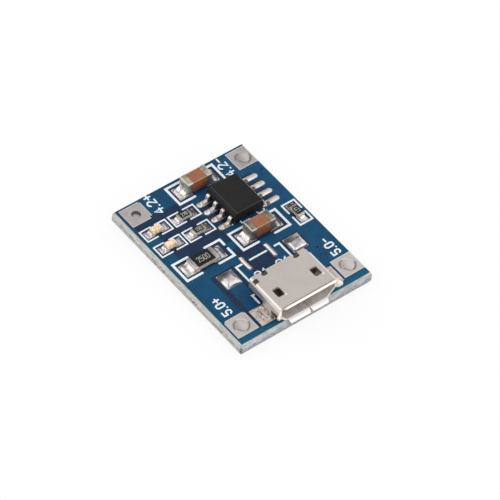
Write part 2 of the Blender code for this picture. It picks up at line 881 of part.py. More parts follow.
def shell():
    """The folded shell with its latch windows, rear notches, side slot and legs."""
    mesh = bpy.data.meshes.new("sheet")
    shell_surface().to_mesh(mesh)
    surface = bpy.data.objects.new("sheet", mesh)
    sheet = surface.modifiers.new("sheet", "SOLIDIFY")
    sheet.thickness = shell_sheet
    sheet.offset = -1
    sheet.use_even_offset = True
    wall = taken(surface)
    top_low = shell_height - shell_sheet - past / 2
    top_high = shell_height + past
    half = shell_width / 2
    cuts = []
    for side in (-1, 1):
        x = side * latch_window_spread
        cuts.append(block(
            x - latch_window_width / 2, x + latch_window_width / 2,
            latch_window_inset, latch_window_inset + latch_window_length,
            top_low, top_high, 0.15 * latch_window_width, True,
        ))
        x = side * rear_notch_spread
        cuts.append(block(
            x - rear_notch_width / 2, x + rear_notch_width / 2,
            shell_depth - rear_notch_length, shell_depth + rear_notch_length,
            top_low, top_high, 0.3 * rear_notch_width, True,
        ))
        inner = side * (half - shell_sheet + overlap)
        behind = side * (half - shell_sheet - (shell_width - shell_base) / 2 - past)
        cuts.append(block(
            min(inner, behind), max(inner, behind), leg_inset, leg_inset + leg_width,
            shell_sheet + overlap, shell_knee - overlap,
        ))
    slot_high = shell_depth - side_slot_inset
    cuts.append(block(
        -half - past, -half + shell_sheet + shell_corner, slot_high - side_slot_length, slot_high,
        shell_height - side_slot_drop, top_high,
    ))
    cuts.append(block(
        half - corner_step_width, half + past, shell_depth - corner_step_length, shell_depth + past,
        shell_height - side_slot_drop, top_high,
    ))
    return combined(wall, [leg(side, shell_sheet) for side in (-1, 1)], cuts)


def contact_xs():
    return [(i - (contact_count - 1) / 2) * contact_pitch for i in range(contact_count)]


def contact_path():
    """One contact from its tip under the tongue, back through the block and down to the board."""
    run = tongue_height
    foot = tin_rise / 2 + contact_thickness / 2 - shell_lift
    drop = shell_depth + contact_thickness / 2 + contact_bend
    return rounded([
        Vector((tongue_setback + contact_tip_gap, run)),
        Vector((drop, run)),
        Vector((drop, foot)),
        Vector((drop + contact_foot, foot)),
    ], [0, contact_bend, contact_bend, 0])


def insulator():
    """The moulded block that closes the back of the shell, with the tongue that stands out of it."""
    section = socket_outline(shell_sheet + seat)
    front = shell_depth - insulator_depth
    back = shell_depth - insulator_recess
    rear = plate(section, -back, -front, upright)
    low = tongue_height - contact_thickness / 2 + overlap
    tongue = block(
        -tongue_width / 2, tongue_width / 2, tongue_setback, front + past, low, low + tongue_thickness,
        0.10 * tongue_thickness,
    )
    half = contact_width / 2 + seat
    high = tongue_height + contact_thickness / 2 + seat
    channels = [
        block(
            x - half, x + half, tongue_setback + contact_tip_gap - seat, shell_depth + past,
            tongue_height - contact_thickness / 2 - seat, high,
        )
        for x in contact_xs()
    ]
    return combined(rear, [tongue], channels)


def socket():
    y = front_edge - shell_overhang
    place = place_at("socket", footprint_offset + shell_shift, y)
    place.location.z += shell_lift
    piece("usb_shell", finished(shell(), nickel, 0.4), place)
    piece("usb_insulator", finished(insulator(), dark_nylon), place)

    half = contact_width / 2
    land_half = contact_land_width / 2
    first = shell_depth + contact_bend
    strip_outline = strip(contact_path(), contact_thickness)
    for i, x in enumerate(contact_xs()):
        bm = plate(strip_outline, -half, half, sideways)
        pool = flat_mound(
            -land_half, land_half, first, first + contact_land_length, contact_solder_height
        )
        turned_over(pool, Matrix.Translation((0, 0, -shell_lift)))
        contact = piece(f"usb_contact_{i + 1}", finished(soldered(pool, [bm]), gold), place)
        contact.location.x = x
        land = oval(-land_half, land_half, first, first + contact_land_length)
        open_window([point + Vector((x, 0)) for point in land], place)

    middle = y + leg_inset + leg_width / 2
    anchors = place_at("anchors", footprint_offset, middle)
    for side, name in ((-1, "left"), (1, "right")):
        face = shell_width / 2 + leg_proud + side * shell_shift
        inner = anchor_reach - anchor_land_width
        bm = climbing_solder(
            face, inner, anchor_reach, anchor_length, anchor_top_length, anchor_climb
        )
        hole = leg(side, shell_sheet + 2 * seat, seat)
        turned_over(hole, Matrix.Translation((shell_shift, -leg_inset - leg_width / 2, shell_lift)))
        turned_over(bm, Matrix.Diagonal((side, 1, 1, 1)))
        piece(f"usb_anchor_{name}", finished(soldered(bm, (), [hole]), solder), anchors)
        land = rectangle(inner, anchor_reach, -anchor_length / 2, anchor_length / 2)
        open_window(land, anchors, 0.0 if side > 0 else math.pi)


# Unused lands behind the socket

def spare_lands():
    place = place_at("spare_lands", footprint_offset, front_edge + spare_inset)
    half = spare_length / 2
    inner = spare_reach - spare_width
    land = rectangle(inner, spare_reach, -half, half)
    peak = ((0.10, 0.35), (0.26, 0.75), (0.40, 1.0))
    loaf = ((0.04, 0.45), (0.11, 0.82), (0.24, 1.0))
    for side, name, profile, strip_width in (
        (-1, "left", peak, 0.0), (1, "right", loaf, spare_bare_strip),
    ):
        rings = [(rounded(land, [land_corner] * 4), z) for z in (core_drop, tin_rise)]
        for share, height in profile:
            across = share * spare_width
            along = 0.9 * share * spare_length
            outline = rectangle(
                inner + across, spare_reach - across, -half + along, half - strip_width - 0.6 * along
            )
            z = tin_rise + height * spare_height
            rings.append((rounded(outline, [land_corner * (1 - 2 * share)] * 4), z))
        bm = stacked(rings)
        turned_over(bm, Matrix.Diagonal((side, 1, 1, 1)))
        piece(f"spare_pad_{name}", finished(bm, solder), place)
        open_window(land, place, 0.0 if side > 0 else math.pi)

    bars = place_at("solder_bars", footprint_offset, front_edge + bar_inset)
    for side, name in ((-1, "left"), (1, "right")):
        outline = bar_outline(side)
        rings = [(outline, core_drop), (outline, tin_rise)]
        for share, height in ((0.08, 0.5), (0.20, 0.85), (0.34, 1.0)):
            rings.append((grown(outline, -share * bar_width), tin_rise + height * bar_height))
        piece(f"solder_bar_{name}", finished(stacked(rings), solder), bars)
        open_window(outline, bars)


def bar_outline(side):
    """A slim land, bowed a little away from the middle, with its four corners taken off."""
    path = []
    for step in (-2, -1, 0, 1, 2):
        bow = bar_bow * (1 - step * step / 4)
        path.append(Vector((side * (bar_spread + bow), step * bar_length / 4)))
    outline = strip(path, bar_width)
    corner = 0.3 * bar_width
    return rounded(outline, [corner if i in (0, 4, 5, 9) else 0 for i in range(len(outline))])


chip()
two_ended_parts()
socket()
spare_lands()
board()
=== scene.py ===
import math
import bmesh
import bpy
from mathutils import Matrix, Vector, noise


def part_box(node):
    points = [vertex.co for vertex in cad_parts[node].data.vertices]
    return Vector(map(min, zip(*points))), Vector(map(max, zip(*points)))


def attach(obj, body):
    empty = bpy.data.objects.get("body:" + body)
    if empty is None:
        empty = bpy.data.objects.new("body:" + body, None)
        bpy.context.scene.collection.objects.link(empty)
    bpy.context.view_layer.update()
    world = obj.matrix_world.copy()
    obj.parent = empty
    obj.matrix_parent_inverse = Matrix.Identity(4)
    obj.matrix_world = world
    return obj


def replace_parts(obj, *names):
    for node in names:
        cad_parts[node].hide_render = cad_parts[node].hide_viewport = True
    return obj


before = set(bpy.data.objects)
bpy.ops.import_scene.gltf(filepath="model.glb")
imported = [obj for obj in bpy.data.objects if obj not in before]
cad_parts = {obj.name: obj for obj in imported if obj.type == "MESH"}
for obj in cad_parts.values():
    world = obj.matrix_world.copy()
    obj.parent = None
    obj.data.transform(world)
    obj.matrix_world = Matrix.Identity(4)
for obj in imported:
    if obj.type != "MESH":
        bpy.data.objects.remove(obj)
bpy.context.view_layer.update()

# Lengths are in millimetres unless a note says otherwise. In the plane of the board x runs across
# it, and y away from the socket's mouth. Heights start at its underside.
millimetre = 0.001
halfWide, halfLong, boardTop = (round(value / millimetre, 4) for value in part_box("solder_mask_top")[1])
bpy.context.scene.view_settings.view_transform = "Standard"
print("frame loaded:", len(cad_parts), "solids")


def screenColour(red, green, blue):  # a colour as a screen shows it, 0 to 255, as light
    parts = [value / 255 for value in (red, green, blue)]
    return (*[p / 12.92 if p <= 0.04045 else ((p + 0.055) / 1.055) ** 2.4 for p in parts], 1.0)


# One output of a shader node. Arithmetic on it adds Math nodes.
class Wire:
    def __init__(self, tree, socket=None):
        self.tree = tree
        self.socket = socket

    def node(self, kind, settings, sockets, out=0):  # settings first, then values or links
        made = self.tree.nodes.new("ShaderNode" + kind)
        for name, value in settings.items():
            setattr(made, name, value)
        for key, value in sockets.items():
            if isinstance(value, Wire):
                self.tree.links.new(value.socket, made.inputs[key])
            else:
                made.inputs[key].default_value = value
        return Wire(self.tree, made.outputs[out])

    def math(self, operation, first, second=0.0):
        return self.node("Math", {"operation": operation}, {0: first, 1: second})

    def alone(self, operation):  # a Math node that takes only this value
        return self.math(operation, self)

    def __add__(self, other):
        return self.math("ADD", self, other)

    __radd__ = __add__

    def __sub__(self, other):
        return self.math("SUBTRACT", self, other)

    def __rsub__(self, other):
        return self.math("SUBTRACT", other, self)

    def __mul__(self, other):
        return self.math("MULTIPLY", self, other)

    __rmul__ = __mul__

    def most(self, other):
        return self.math("MAXIMUM", self, other)

    def least(self, other):
        return self.math("MINIMUM", self, other)

    def away(self, middle=0.0):  # how far the value is from the middle
        return (self - middle).alone("ABSOLUTE")

    def step(self, low, high):  # 0 below low, 1 above high, and smooth between
        ends = {"Value": self, "From Min": low, "From Max": high}
        return self.node("MapRange", {"interpolation_type": "SMOOTHSTEP"}, ends)

    def tint(self, none, full):  # the first colour at 0, the second at 1
        return self.node("Mix", {"data_type": "RGBA"}, {0: self, 6: none, 7: full}, 2)

    def axis(self, out):
        return self.node("SeparateXYZ", {}, {0: self}, out)

    def stretched(self, *scales):
        return self.node("VectorMath", {"operation": "MULTIPLY"}, {0: self, 1: scales})

    def noise(self, scale, detail=2.0, rough=0.5):
        sockets = {"Vector": self, "Scale": scale, "Detail": detail, "Roughness": rough}
        return self.node("TexNoise", {}, sockets)

    def bump(self, height, depth):  # the depth in millimetres
        return self.node("Bump", {}, {"Height": height, "Distance": depth * millimetre})


def boxOf(node):  # the low and the high corner of a solid
    return [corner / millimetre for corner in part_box(node)]


def share(value, low, high):  # how far along from low to high, 0 to 1
    return (value - low) * (1 / (high - low))


def withinBox(x, y, left, right, front, back):  # how far inside a rectangle, and negative outside it
    return (x - left).least(right - x).least(y - front).least(back - y)


def newFinish(name, roughness, metallic=0.0, **others):
    # A material with its plain values set, and the place on the object in millimetres
    material = bpy.data.materials.new(name)
    material.use_nodes = True
    shader = material.node_tree.nodes["Principled BSDF"]
    values = {"Roughness": roughness, "Metallic": metallic}
    values.update({key.replace("_", " "): value for key, value in others.items()})
    for key, value in values.items():
        shader.inputs[key].default_value = value
    start = Wire(material.node_tree)
    place = start.node("TexCoord", {}, {}, "Object")
    return material, place.node("VectorMath", {"operation": "SCALE"}, {0: place, "Scale": 1 / millimetre})


def feed(material, **wires):  # links to the shader, with an underscore for a space
    tree = material.node_tree
    for key, wire in wires.items():
        tree.links.new(wire.socket, tree.nodes["Principled BSDF"].inputs[key.replace("_", " ")])
    return material


def dress(material, *names):  # gives CAD nodes a finish
    for name in names:
        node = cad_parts[name]
        if not node.material_slots:
            node.data.materials.append(material)
        for materialSlot in node.material_slots:
            materialSlot.material = material


def makePiece(bm, name, material, smoothAngle=None):  # from a mesh in millimetres
    bm.transform(Matrix.Scale(millimetre, 4))
    bmesh.ops.recalc_face_normals(bm, faces=bm.faces)
    mesh = bpy.data.meshes.new(name)
    bm.to_mesh(mesh)
    bm.free()
    mesh.materials.append(material)
    if smoothAngle:
        mesh.shade_smooth()
        mesh.set_sharp_from_angle(angle=smoothAngle)
    made = bpy.data.objects.new(name, mesh)
    bpy.context.scene.collection.objects.link(made)
    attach(made, "root")
    return made


def solidCopy(node):  # a solid's mesh with its split corners joined, in millimetres
    bm = bmesh.new()
    bm.from_mesh(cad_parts[node].data)
    bm.transform(Matrix.Scale(1 / millimetre, 4))
    bmesh.ops.remove_doubles(bm, verts=bm.verts, dist=0.0005)
    return bm


def flowedCopy(node, look, easing, lumps):
    # The solid with its edges run round and its upper side a little uneven. Its foot is drawn down
    # first and cut off flat at the end, so that it keeps its place on the land
    bm = solidCopy(node)
    foot = min(vert.co.z for vert in bm.verts)
    for vert in bm.verts:
        if vert.co.z < foot + look["footDepth"]:
            vert.co.z -= 4 * look["voxel"]
    mesh = bpy.data.meshes.new("flow")
    bm.to_mesh(mesh)
    bm.free()
    shape = bpy.data.objects.new("flow", mesh)
    bpy.context.scene.collection.objects.link(shape)
    skin = shape.modifiers.new("skin", "REMESH")
    skin.mode = "VOXEL"
    skin.voxel_size = look["voxel"]
    ease = shape.modifiers.new("ease", "SMOOTH")
    ease.factor = 0.5
    ease.iterations = easing
    shown = shape.evaluated_get(bpy.context.evaluated_depsgraph_get())
    bm = bmesh.new()
    bm.from_mesh(shown.to_mesh())
    bpy.data.objects.remove(shape, do_unlink=True)
    bm.normal_update()
    for vert in bm.verts:
        place = vert.co * look["lumpScale"]
        lump = noise.noise(place) + look["fineLump"] * noise.noise(place * look["fineScale"])
        lift = min(max((vert.co.z - boardTop - look["liftStart"]) / look["liftRise"], 0), 1)
        vert.co += vert.normal * lump * lift * lumps
    everything = [*bm.verts, *bm.edges, *bm.faces]
    plane = {"plane_co": (0, 0, foot + look["trim"]), "plane_no": (0, 0, -1)}
    bmesh.ops.bisect_plane(bm, geom=everything, clear_outer=True, **plane)
    bmesh.ops.holes_fill(bm, edges=[edge for edge in bm.edges if edge.is_boundary], sides=0)
    bmesh.ops.triangulate(bm, faces=[face for face in bm.faces if len(face.verts) > 4])
    return bm


# Camera and light

photoView = {  # angles in degrees
    "azimuth": -41.534, "elevation": 49.321, "roll": 4.929,
    "distance": 392.018, "target": (0.043, -1.369, boardTop),
    "lens": 269.06, "sensor": 36, "nearest": 10,
}


def placeCamera(view):
    azimuth, elevation, roll = (math.radians(view[key]) for key in ("azimuth", "elevation", "roll"))
    level = Vector((-math.sin(azimuth), math.cos(azimuth), 0))
    ahead = level * math.cos(elevation) - Vector((0, 0, math.sin(elevation)))
    right = Vector((math.cos(azimuth), math.sin(azimuth), 0))
    up = right.cross(ahead)
    turnedRight = math.cos(roll) * right + math.sin(roll) * up
    turnedUp = math.cos(roll) * up - math.sin(roll) * right
    camera = bpy.data.objects.new("camera", bpy.data.cameras.new("camera"))
    camera.data.sensor_width = view["sensor"]
    camera.data.lens = view["lens"]
    camera.data.clip_start = view["nearest"] * millimetre
    camera.matrix_world = Matrix((turnedRight, turnedUp, -ahead)).transposed().to_4x4()
    camera.location = (Vector(view["target"]) - ahead * view["distance"]) * millimetre
    bpy.context.scene.collection.objects.link(camera)
    bpy.context.scene.camera = camera


studio = {
    # The sky's strength at the horizon, in a band above it and overhead, and where each runs into the next
    "horizon": 0.30, "band": 1.20, "zenith": 0.76, "bandEdge": (0.08, 0.32), "zenithEdge": (0.56, 0.74),
    "skyColour": (1.0, 1.0, 1.0, 1.0),
    # Softboxes and one dark flag: the way to each, where its edge is soft, and what it adds or takes
    "panels": (((0.43, -0.55, 0.70), (0.74, 0.93), 0.60), ((-0.66, 0.40, 0.62), (0.80, 0.95), 0.45)),
    "flag": ((0.26, 0.86, 0.44), (0.85, 0.96), 0.80),
    # The lamp in watts, and the lamp and the floor in metres
    "lampPower": 0.04, "lampSize": 0.20, "lampPlace": (-0.22, 0.14, 0.30),
    "floorSize": 6.0, "floorDrop": 0.00002, "floorSides": 64,
    "floorColour": screenColour(250, 250, 250), "floorWhite": 0.86, "floorRoughness": 0.9, "floorGloss": 0.1,
}


def lightStudio(look):
    world = bpy.data.worlds.new("studio")
    bpy.context.scene.world = world
    world.use_nodes = True
    start = Wire(world.node_tree)
    direction = start.node("TexCoord", {}, {}, "Generated")
    height = direction.axis("Z")
    level = height.step(*look["bandEdge"]) * (look["band"] - look["horizon"]) + look["horizon"]
    level = level - height.step(*look["zenithEdge"]) * (look["band"] - look["zenith"])

    def facing(towards, edge):
        sockets = {0: direction, 1: Vector(towards).normalized()}
        return start.node("VectorMath", {"operation": "DOT_PRODUCT"}, sockets, "Value").step(*edge)

    for towards, edge, added in look["panels"]:
        level = level + facing(towards, edge) * added
    towards, edge, taken = look["flag"]
    level = level * (1 - facing(towards, edge) * taken)
    background = world.node_tree.nodes["Background"]
    background.inputs["Color"].default_value = look["skyColour"]
    world.node_tree.links.new(level.socket, background.inputs["Strength"])

    lamp = bpy.data.objects.new("softLamp", bpy.data.lights.new("softLamp", "AREA"))
    lamp.data.energy = look["lampPower"]
    lamp.data.size = look["lampSize"]
    lamp.location = look["lampPlace"]
    lamp.rotation_euler = (-Vector(look["lampPlace"])).to_track_quat("-Z", "Y").to_euler()
    bpy.context.scene.collection.objects.link(lamp)

    bm = bmesh.new()
    bmesh.ops.create_circle(bm, cap_ends=True, segments=look["floorSides"], radius=look["floorSize"])
    floor = bpy.data.objects.new("floor", bpy.data.meshes.new("floor"))
    bm.to_mesh(floor.data)
    bm.free()
    floor.location.z = -look["floorDrop"]
    bpy.context.scene.collection.objects.link(floor)
    material = bpy.data.materials.new("palePaper")
    material.use_nodes = True
    tree = material.node_tree
    shader = tree.nodes["Principled BSDF"]
    shader.inputs["Base Color"].default_value = look["floorColour"]
    shader.inputs["Roughness"].default_value = look["floorRoughness"]
    shader.inputs["Specular IOR Level"].default_value = look["floorGloss"]
    start = Wire(tree)
    rays = [start.node("LightPath", {}, {}, f"Is {ray} Ray") for ray in ("Camera", "Glossy", "Transmission")]
    seen = rays[0].most(rays[1]).most(rays[2]) * look["floorWhite"]
    white = start.node("Emission", {}, {"Color": (1, 1, 1, 1), "Strength": 1.0})
    shown = start.node("MixShader", {}, {0: seen, 1: Wire(tree, shader.outputs[0]), 2: white})
    tree.links.new(shown.socket, tree.nodes["Material Output"].inputs["Surface"])
    floor.data.materials.append(material)


placeCamera(photoView)
lightStudio(studio)
print("camera and light placed")


# Solder mask over copper: the pour shows lighter, and bare laminate shows as navy

coveredVias = ((7.94, 6.98), (6.19, -6.27))
maskLook = {
    "pour": screenColour(5, 76, 114), "pourShade": screenColour(8, 64, 99), "teal": screenColour(10, 66, 88),
    "frontTeal": screenColour(8, 86, 112), "shadow": screenColour(8, 13, 24),
    # Painted shadow beside the chip and the socket: left, right, front, back
    "shadows": ((0.00, 1.20, 2.40, 7.15), (-3.50, -2.80, -8.00, -6.10)),
    "bare": screenColour(24, 42, 70), "slate": screenColour(22, 52, 78), "edge": screenColour(100, 140, 146),
    "roughness": 0.42, "gloss": 0.22, "relief": 0.012, "soft": 0.07, "wobble": 0.16, "pitDepth": 0.03,
    # How far the teal reaches in from the left and rear edges and from the front one, and the light rim
    "tealReach": (0.10, 0.75), "frontReach": (0.30, 1.00), "rimReach": (0.0, 0.05),
    # Where there is no copper: left, right, front, back
    "bareAreas": (
        (-8.10, -2.35, 7.25, 8.28), (-8.10, -4.60, 5.50, 7.30), (-4.70, -0.95, 2.90, 7.60),
        (-6.90, -1.40, 4.70, 5.62), (-8.10, -4.60, 2.95, 4.75), (-6.80, -0.80, 1.30, 2.98),
        (-1.00, 1.60, 2.30, 7.00), (-1.50, -0.62, -4.30, -0.25), (-1.50, -0.62, 0.75, 2.95),
        (-1.00, 1.55, -5.60, -1.12), (-5.85, -2.85, -2.45, -2.05), (-3.35, -2.82, -5.90, -2.05),
        (-5.85, -5.12, -8.00, -2.05), (-5.60, -5.20, -10.15, -7.60), (5.10, 6.70, 2.95, 7.30),
        (-1.98, 3.85, 8.10, 10.34), (-0.36, 5.55, -0.86, 1.47), (-7.76, -1.86, -0.86, 1.46),
        (6.65, 8.06, -1.58, 1.42), (3.20, 5.75, -4.50, -2.10), (-5.30, -2.80, -10.45, -7.85),
        (4.60, 5.72, -10.45, -7.80),
    ),
    # Narrow traces back across the bare areas, each from one place to the next
    "traces": (
        (-5.45, 6.45, -4.40, 6.45, 0.22), (-5.45, 3.85, -4.40, 3.85, 0.22), (-1.40, 6.50, -0.60, 6.70, 0.22),
        (-1.40, 3.85, -0.60, 4.00, 0.22), (-7.60, 5.10, -6.95, 5.10, 0.45), (-1.15, 5.30, -0.50, 5.35, 0.30),
        (-0.70, 7.30, 0.60, 7.40, 0.40), (-0.20, 2.10, 1.20, 2.10, 0.25), (6.30, 6.00, 7.30, 6.60, 0.20),
    ),
    "vias": coveredVias,
}
maskBelow = {
    "bareAreas": (
        (-8.30, -5.10, 7.60, 8.05), (5.60, 8.30, 7.60, 8.05), (-8.30, -5.30, -7.45, -7.05),
        (5.60, 8.30, -7.45, -7.05), (-0.60, -0.15, -6.50, 7.50), (-0.60, 6.40, 2.80, 3.20),
    ),
    "traces": ((-7.0, 7.0, -7.0, -6.6, 0.8), (7.2, 7.2, 7.2, -6.8, 0.8), (-4.4, 5.0, -1.2, 1.8, 0.3)),
    "vias": coveredVias,
}


def maskFinish(name, areas, look):
    material, place = newFinish(name, look["roughness"], Specular_IOR_Level=look["gloss"])
    wobble = (place.noise(1.3) - 0.5) * look["wobble"]
    x = place.axis("X") + wobble
    y = place.axis("Y") + wobble
    bare = None  # how far inside the nearest bare area
    for area in areas["bareAreas"]:
        inside = withinBox(x, y, *area)
        bare = bare.most(inside) if bare else inside
    for x1, y1, x2, y2, width in areas["traces"]:
        long = math.hypot(x2 - x1, y2 - y1)
        alongX, alongY = (x2 - x1) / long, (y2 - y1) / long
        middleX, middleY = (x1 + x2) / 2, (y1 + y2) / 2
        along = ((x - middleX) * alongX + (y - middleY) * alongY).away() - long / 2
        across = ((y - middleY) * alongX - (x - middleX) * alongY).away()
        bare = bare.least(along.most(across) - width / 2)
    pit = None  # how far from the nearest covered via
    for via in areas["vias"]:
        sockets = {0: place.stretched(1, 1, 0), 1: (*via, 0)}
        gap = place.node("VectorMath", {"operation": "DISTANCE"}, sockets, "Value")
        pit = pit.least(gap) if pit else gap
    naked = bare.step(-look["soft"] / 2, look["soft"] / 2)
    cloud = place.noise(0.55, 3.0).step(0.36, 0.64)
    grain = place.noise(9.0, 3.0).step(0.2, 0.8)
    rim = withinBox(place.axis("X"), place.axis("Y"), -halfWide, halfWide, -halfLong, halfLong)
    pour = (cloud * 0.75 + grain * 0.15).tint(look["pour"], look["pourShade"])
    side = (place.axis("X") + halfWide).least(halfLong - place.axis("Y"))  # from the left or the rear edge
    pour = ((1 - side.step(*look["tealReach"])) * 0.8).tint(pour, look["teal"])
    front = place.axis("Y") + halfLong
    pour = ((1 - front.step(*look["frontReach"])) * 0.9).tint(pour, look["frontTeal"])
    laminate = place.noise(0.8).step(0.35, 0.65).tint(look["bare"], look["slate"])
    colour = naked.tint(pour, laminate)
    colour = ((1 - pit.step(0.10, 0.24)) * 0.75).tint(colour, look["bare"])
    # Painted shadow over each of these areas
    for area in areas.get("shadows", ()):
        colour = (withinBox(x, y, *area).step(-0.10, 0.25) * 0.8).tint(colour, look["shadow"])
    colour = ((1 - rim.step(*look["rimReach"])) * 0.45).tint(colour, look["edge"])
    relief = (1 - naked) * look["relief"] + pit.step(0.12, 0.26) * look["pitDepth"]
    relief = relief + place.noise(6.0, 2.0) * 0.004
    normal = place.bump(relief, 1.0)
    rough = look["roughness"] + grain * 0.10
    return feed(material, Base_Color=colour, Roughness=rough, Normal=normal)


dress(maskFinish("blueMaskTop", maskLook, maskLook), "solder_mask_top")
dress(maskFinish("blueMaskBelow", maskBelow, maskLook), "solder_mask_bottom")
print("solder mask finished")


# Snapped edge of the glass epoxy board

coreLook = {
    "pale": screenColour(204, 203, 199), "grey": screenColour(176, 176, 175),
    "smooth": screenColour(156, 157, 160), "sheen": screenColour(204, 208, 213),
    # The dark marks' colour, and the painted shade inside the holes
    "dark": screenColour(96, 93, 90), "barrel": screenColour(26, 24, 24),
    "land": screenColour(196, 190, 187),
    # The torn web's height from and to, and the height of the dark dashes
    "webLow": 0.52, "webHigh": 1.08, "marks": 0.98, "roughness": 0.72, "gloss": 0.3, "relief": 0.09,
    # A hole further out than this both ways is a wire hole, and has no land at the top of its wall
    "padsMiddle": 0.15, "padsAcross": 5.50, "padsAlong": 7.3,
}


def coreFinish(look):
    # The grooves are smooth, the web between them is torn, and dark dashes are left along the sides.
    # What faces the inside of a hole is painted dark as shade, with pale lands at its top
    material, place = newFinish("glassEpoxy", look["roughness"], Specular_IOR_Level=look["gloss"])
    height = place.axis("Z")
    web = (height - look["webLow"]).step(-0.05, 0.05) * (look["webHigh"] - height).step(-0.05, 0.05)
    fibre = place.stretched(0.8, 0.8, 8.0).noise(1.4, 4.0, 0.6)
    dash = place.stretched(2.4, 1.9, 5.0).noise(1.2, 3.0, 0.65).step(0.51, 0.62)
    middle = 1 - height.away(look["marks"]).step(0.07, 0.24)
    ends = place.axis("Y").away().step(halfLong - 0.10, halfLong - 0.02)
    colour = fibre.step(0.38, 0.64).tint(look["pale"], look["grey"])
    colour = (ends * 0.75).tint(colour, look["smooth"])
    sheen = place.stretched(0.7, 0.7, 3.0).noise(1.6, 3.0, 0.6).step(0.40, 0.62) * height.step(0.55, 1.15)
    colour = (ends * sheen * 0.75).tint(colour, look["sheen"])
    colour = (dash * (middle * 0.85 + 0.1) * (1 - ends * 0.7)).tint(colour, look["dark"])
    colour = ((1 - height.step(0.50, 0.64)) * 0.35).tint(colour, look["dark"])
    across = place.axis("X").away()
    along = place.axis("Y").away()
    fromPads = place.axis("X").away(look["padsMiddle"])
    pads = fromPads.step(look["padsAcross"], look["padsAcross"] + 0.08)
    pads = pads * along.step(look["padsAlong"], look["padsAlong"] + 0.1)
    lands = height.step(boardTop - 0.10, boardTop - 0.06) * (1 - pads)
    outer = across.step(halfWide - 0.20, halfWide - 0.10)
    outer = outer.most(along.step(halfLong - 0.20, halfLong - 0.10))
    # Painted shade inside the holes and around the wire pads, with pale lands at the top of the other holes
    colour = outer.tint(lands.tint(look["barrel"], look["land"]), colour)
    rough = place.stretched(1.4, 1.4, 7.0).noise(1.7, 5.0, 0.65)
    normal = place.bump(rough * (web * (1 - ends * 0.6) + 0.2) - dash * web * 0.5, look["relief"])
    return feed(material, Base_Color=colour, Normal=normal)


dress(coreFinish(coreLook), "board_core")
print("board edge finished")


# Tinned wire pads

padLook = {
    "tin": screenColour(194, 187, 186), "shade": screenColour(182, 175, 173),
    "light": screenColour(214, 208, 204), "rim": screenColour(224, 226, 236),
    # Painted shade for the dishes' arcs, and a painted highlight on their floors
    "arc": screenColour(100, 91, 90), "dishHighlight": screenColour(226, 221, 221),
    # Painted light on the deep part of the open hole's wall, and painted shadow at its top
    "hollow": screenColour(232, 226, 222), "holeShadow": screenColour(108, 100, 98),
    "roughness": 0.42, "metallic": 0.75, "relief": 0.012,
    # The rim's width, the radii of a dish and of the open hole, and how deep the hole's lit foot lies
    "rimWidth": 0.15, "dish": 0.82, "holeWall": 0.515, "holeFloor": 0.62,
    # How far a pad's tin is painted lighter towards the light colour, as painted light, and the middle of
    # each hole
    "lift": {"input_plus_pad": 0.9, "input_minus_pad": 0.9, "battery_plus_pad": 0.2},
    "hole": (-6.82, 9.44),
    "dishes": {
        "battery_minus_pad": (7.38, 9.36), "input_plus_pad": (-6.97, -8.98), "input_minus_pad": (7.17, -8.88),
    },
}


def padFinish(node, look):
    # A light rim along the outline. In a dish, painted shade as a dark broken ring where the solder sinks
    # into the hole, and a painted highlight and painted shade on its floor; in the open hole, painted shadow
    # and painted light on the wall
    material, place = newFinish(node + "Tin", look["roughness"], look["metallic"])
    low, high = boxOf(node)
    rim = withinBox(place.axis("X"), place.axis("Y"), low.x, high.x, low.y, high.y)
    # Painted light: some pads are painted lighter than the others
    lift = look["lift"].get(node, 0.0)

    def withPaintedLight(own):  # a colour of the tin, taken towards the light one
        return [part + (light - part) * lift for part, light in zip(own, look["light"])]

    colour = place.noise(1.1, 2.0).step(0.35, 0.7).tint(withPaintedLight(look["tin"]), withPaintedLight(look["shade"]))
    colour = ((1 - rim.step(0.03, look["rimWidth"])) * 0.8).tint(colour, look["rim"])
    relief = place.noise(1.6, 2.0)
    if node in look["dishes"]:
        middleX, middleY = look["dishes"][node]
        x = place.axis("X") - middleX
        y = place.axis("Y") - middleY
        turn = math.radians(photoView["azimuth"])  # across and rising as the camera sees them
        across = x * math.cos(turn) + y * math.sin(turn)
        rising = y * math.cos(turn) - x * math.sin(turn)
        gap = (x * x + y * y).alone("SQRT") + (place.noise(1.5, 1.0) - 0.5) * 0.22
        # Painted shade: dark arcs at the dish's sides and a wavy one at its front
        ring = 1 - (gap - look["dish"]).away().step(0.02, 0.19)
        sides = across.away().step(0.46, 0.74)
        colour = (ring * sides * 0.72).tint(colour, look["arc"])
        wave = (rising + 0.60 + (across * 4.0).alone("SINE") * 0.07).away()
        front = (1 - wave.step(0.02, 0.15)) * (1 - across.away().step(0.30, 0.60))
        colour = (front * 0.50).tint(colour, look["arc"])
        # Painted highlight on the side of the dish floor towards the light, and painted shade on the other
        floor = 1 - gap.step(0.55, 0.85)
        lit = floor * (across * 0.5 + rising * 0.5 + 0.1).step(-0.1, 0.4)
        colour = (lit * 0.60).tint(colour, look["dishHighlight"])
        shaded = floor * (0.1 - across * 0.6 - rising * 0.4).step(0.1, 0.6)
        colour = (shaded * 0.30).tint(colour, look["arc"])
        relief = relief - ring * 0.5
    else:
        holeX, holeY = look["hole"]
        x = place.axis("X") - holeX
        y = place.axis("Y") - holeY
        # Painted shadow at the top of the open hole's wall, and painted light from below further down
        wall = 1 - (x * x + y * y).alone("SQRT").step(look["holeWall"], look["holeWall"] + 0.015)
        floor = boardTop - look["holeFloor"]
        hollow = 1 - place.axis("Z").step(floor, floor + 0.20)
        colour = (wall * 0.85).tint(colour, hollow.tint(look["holeShadow"], look["hollow"]))
    rough = look["roughness"] + place.noise(4.0, 2.0) * 0.10
    return feed(material, Base_Color=colour, Roughness=rough, Normal=place.bump(relief, look["relief"]))


for node in ("battery_plus_pad", "battery_minus_pad", "input_plus_pad", "input_minus_pad"):
    dress(padFinish(node, padLook), node)
print("wire pads finished")
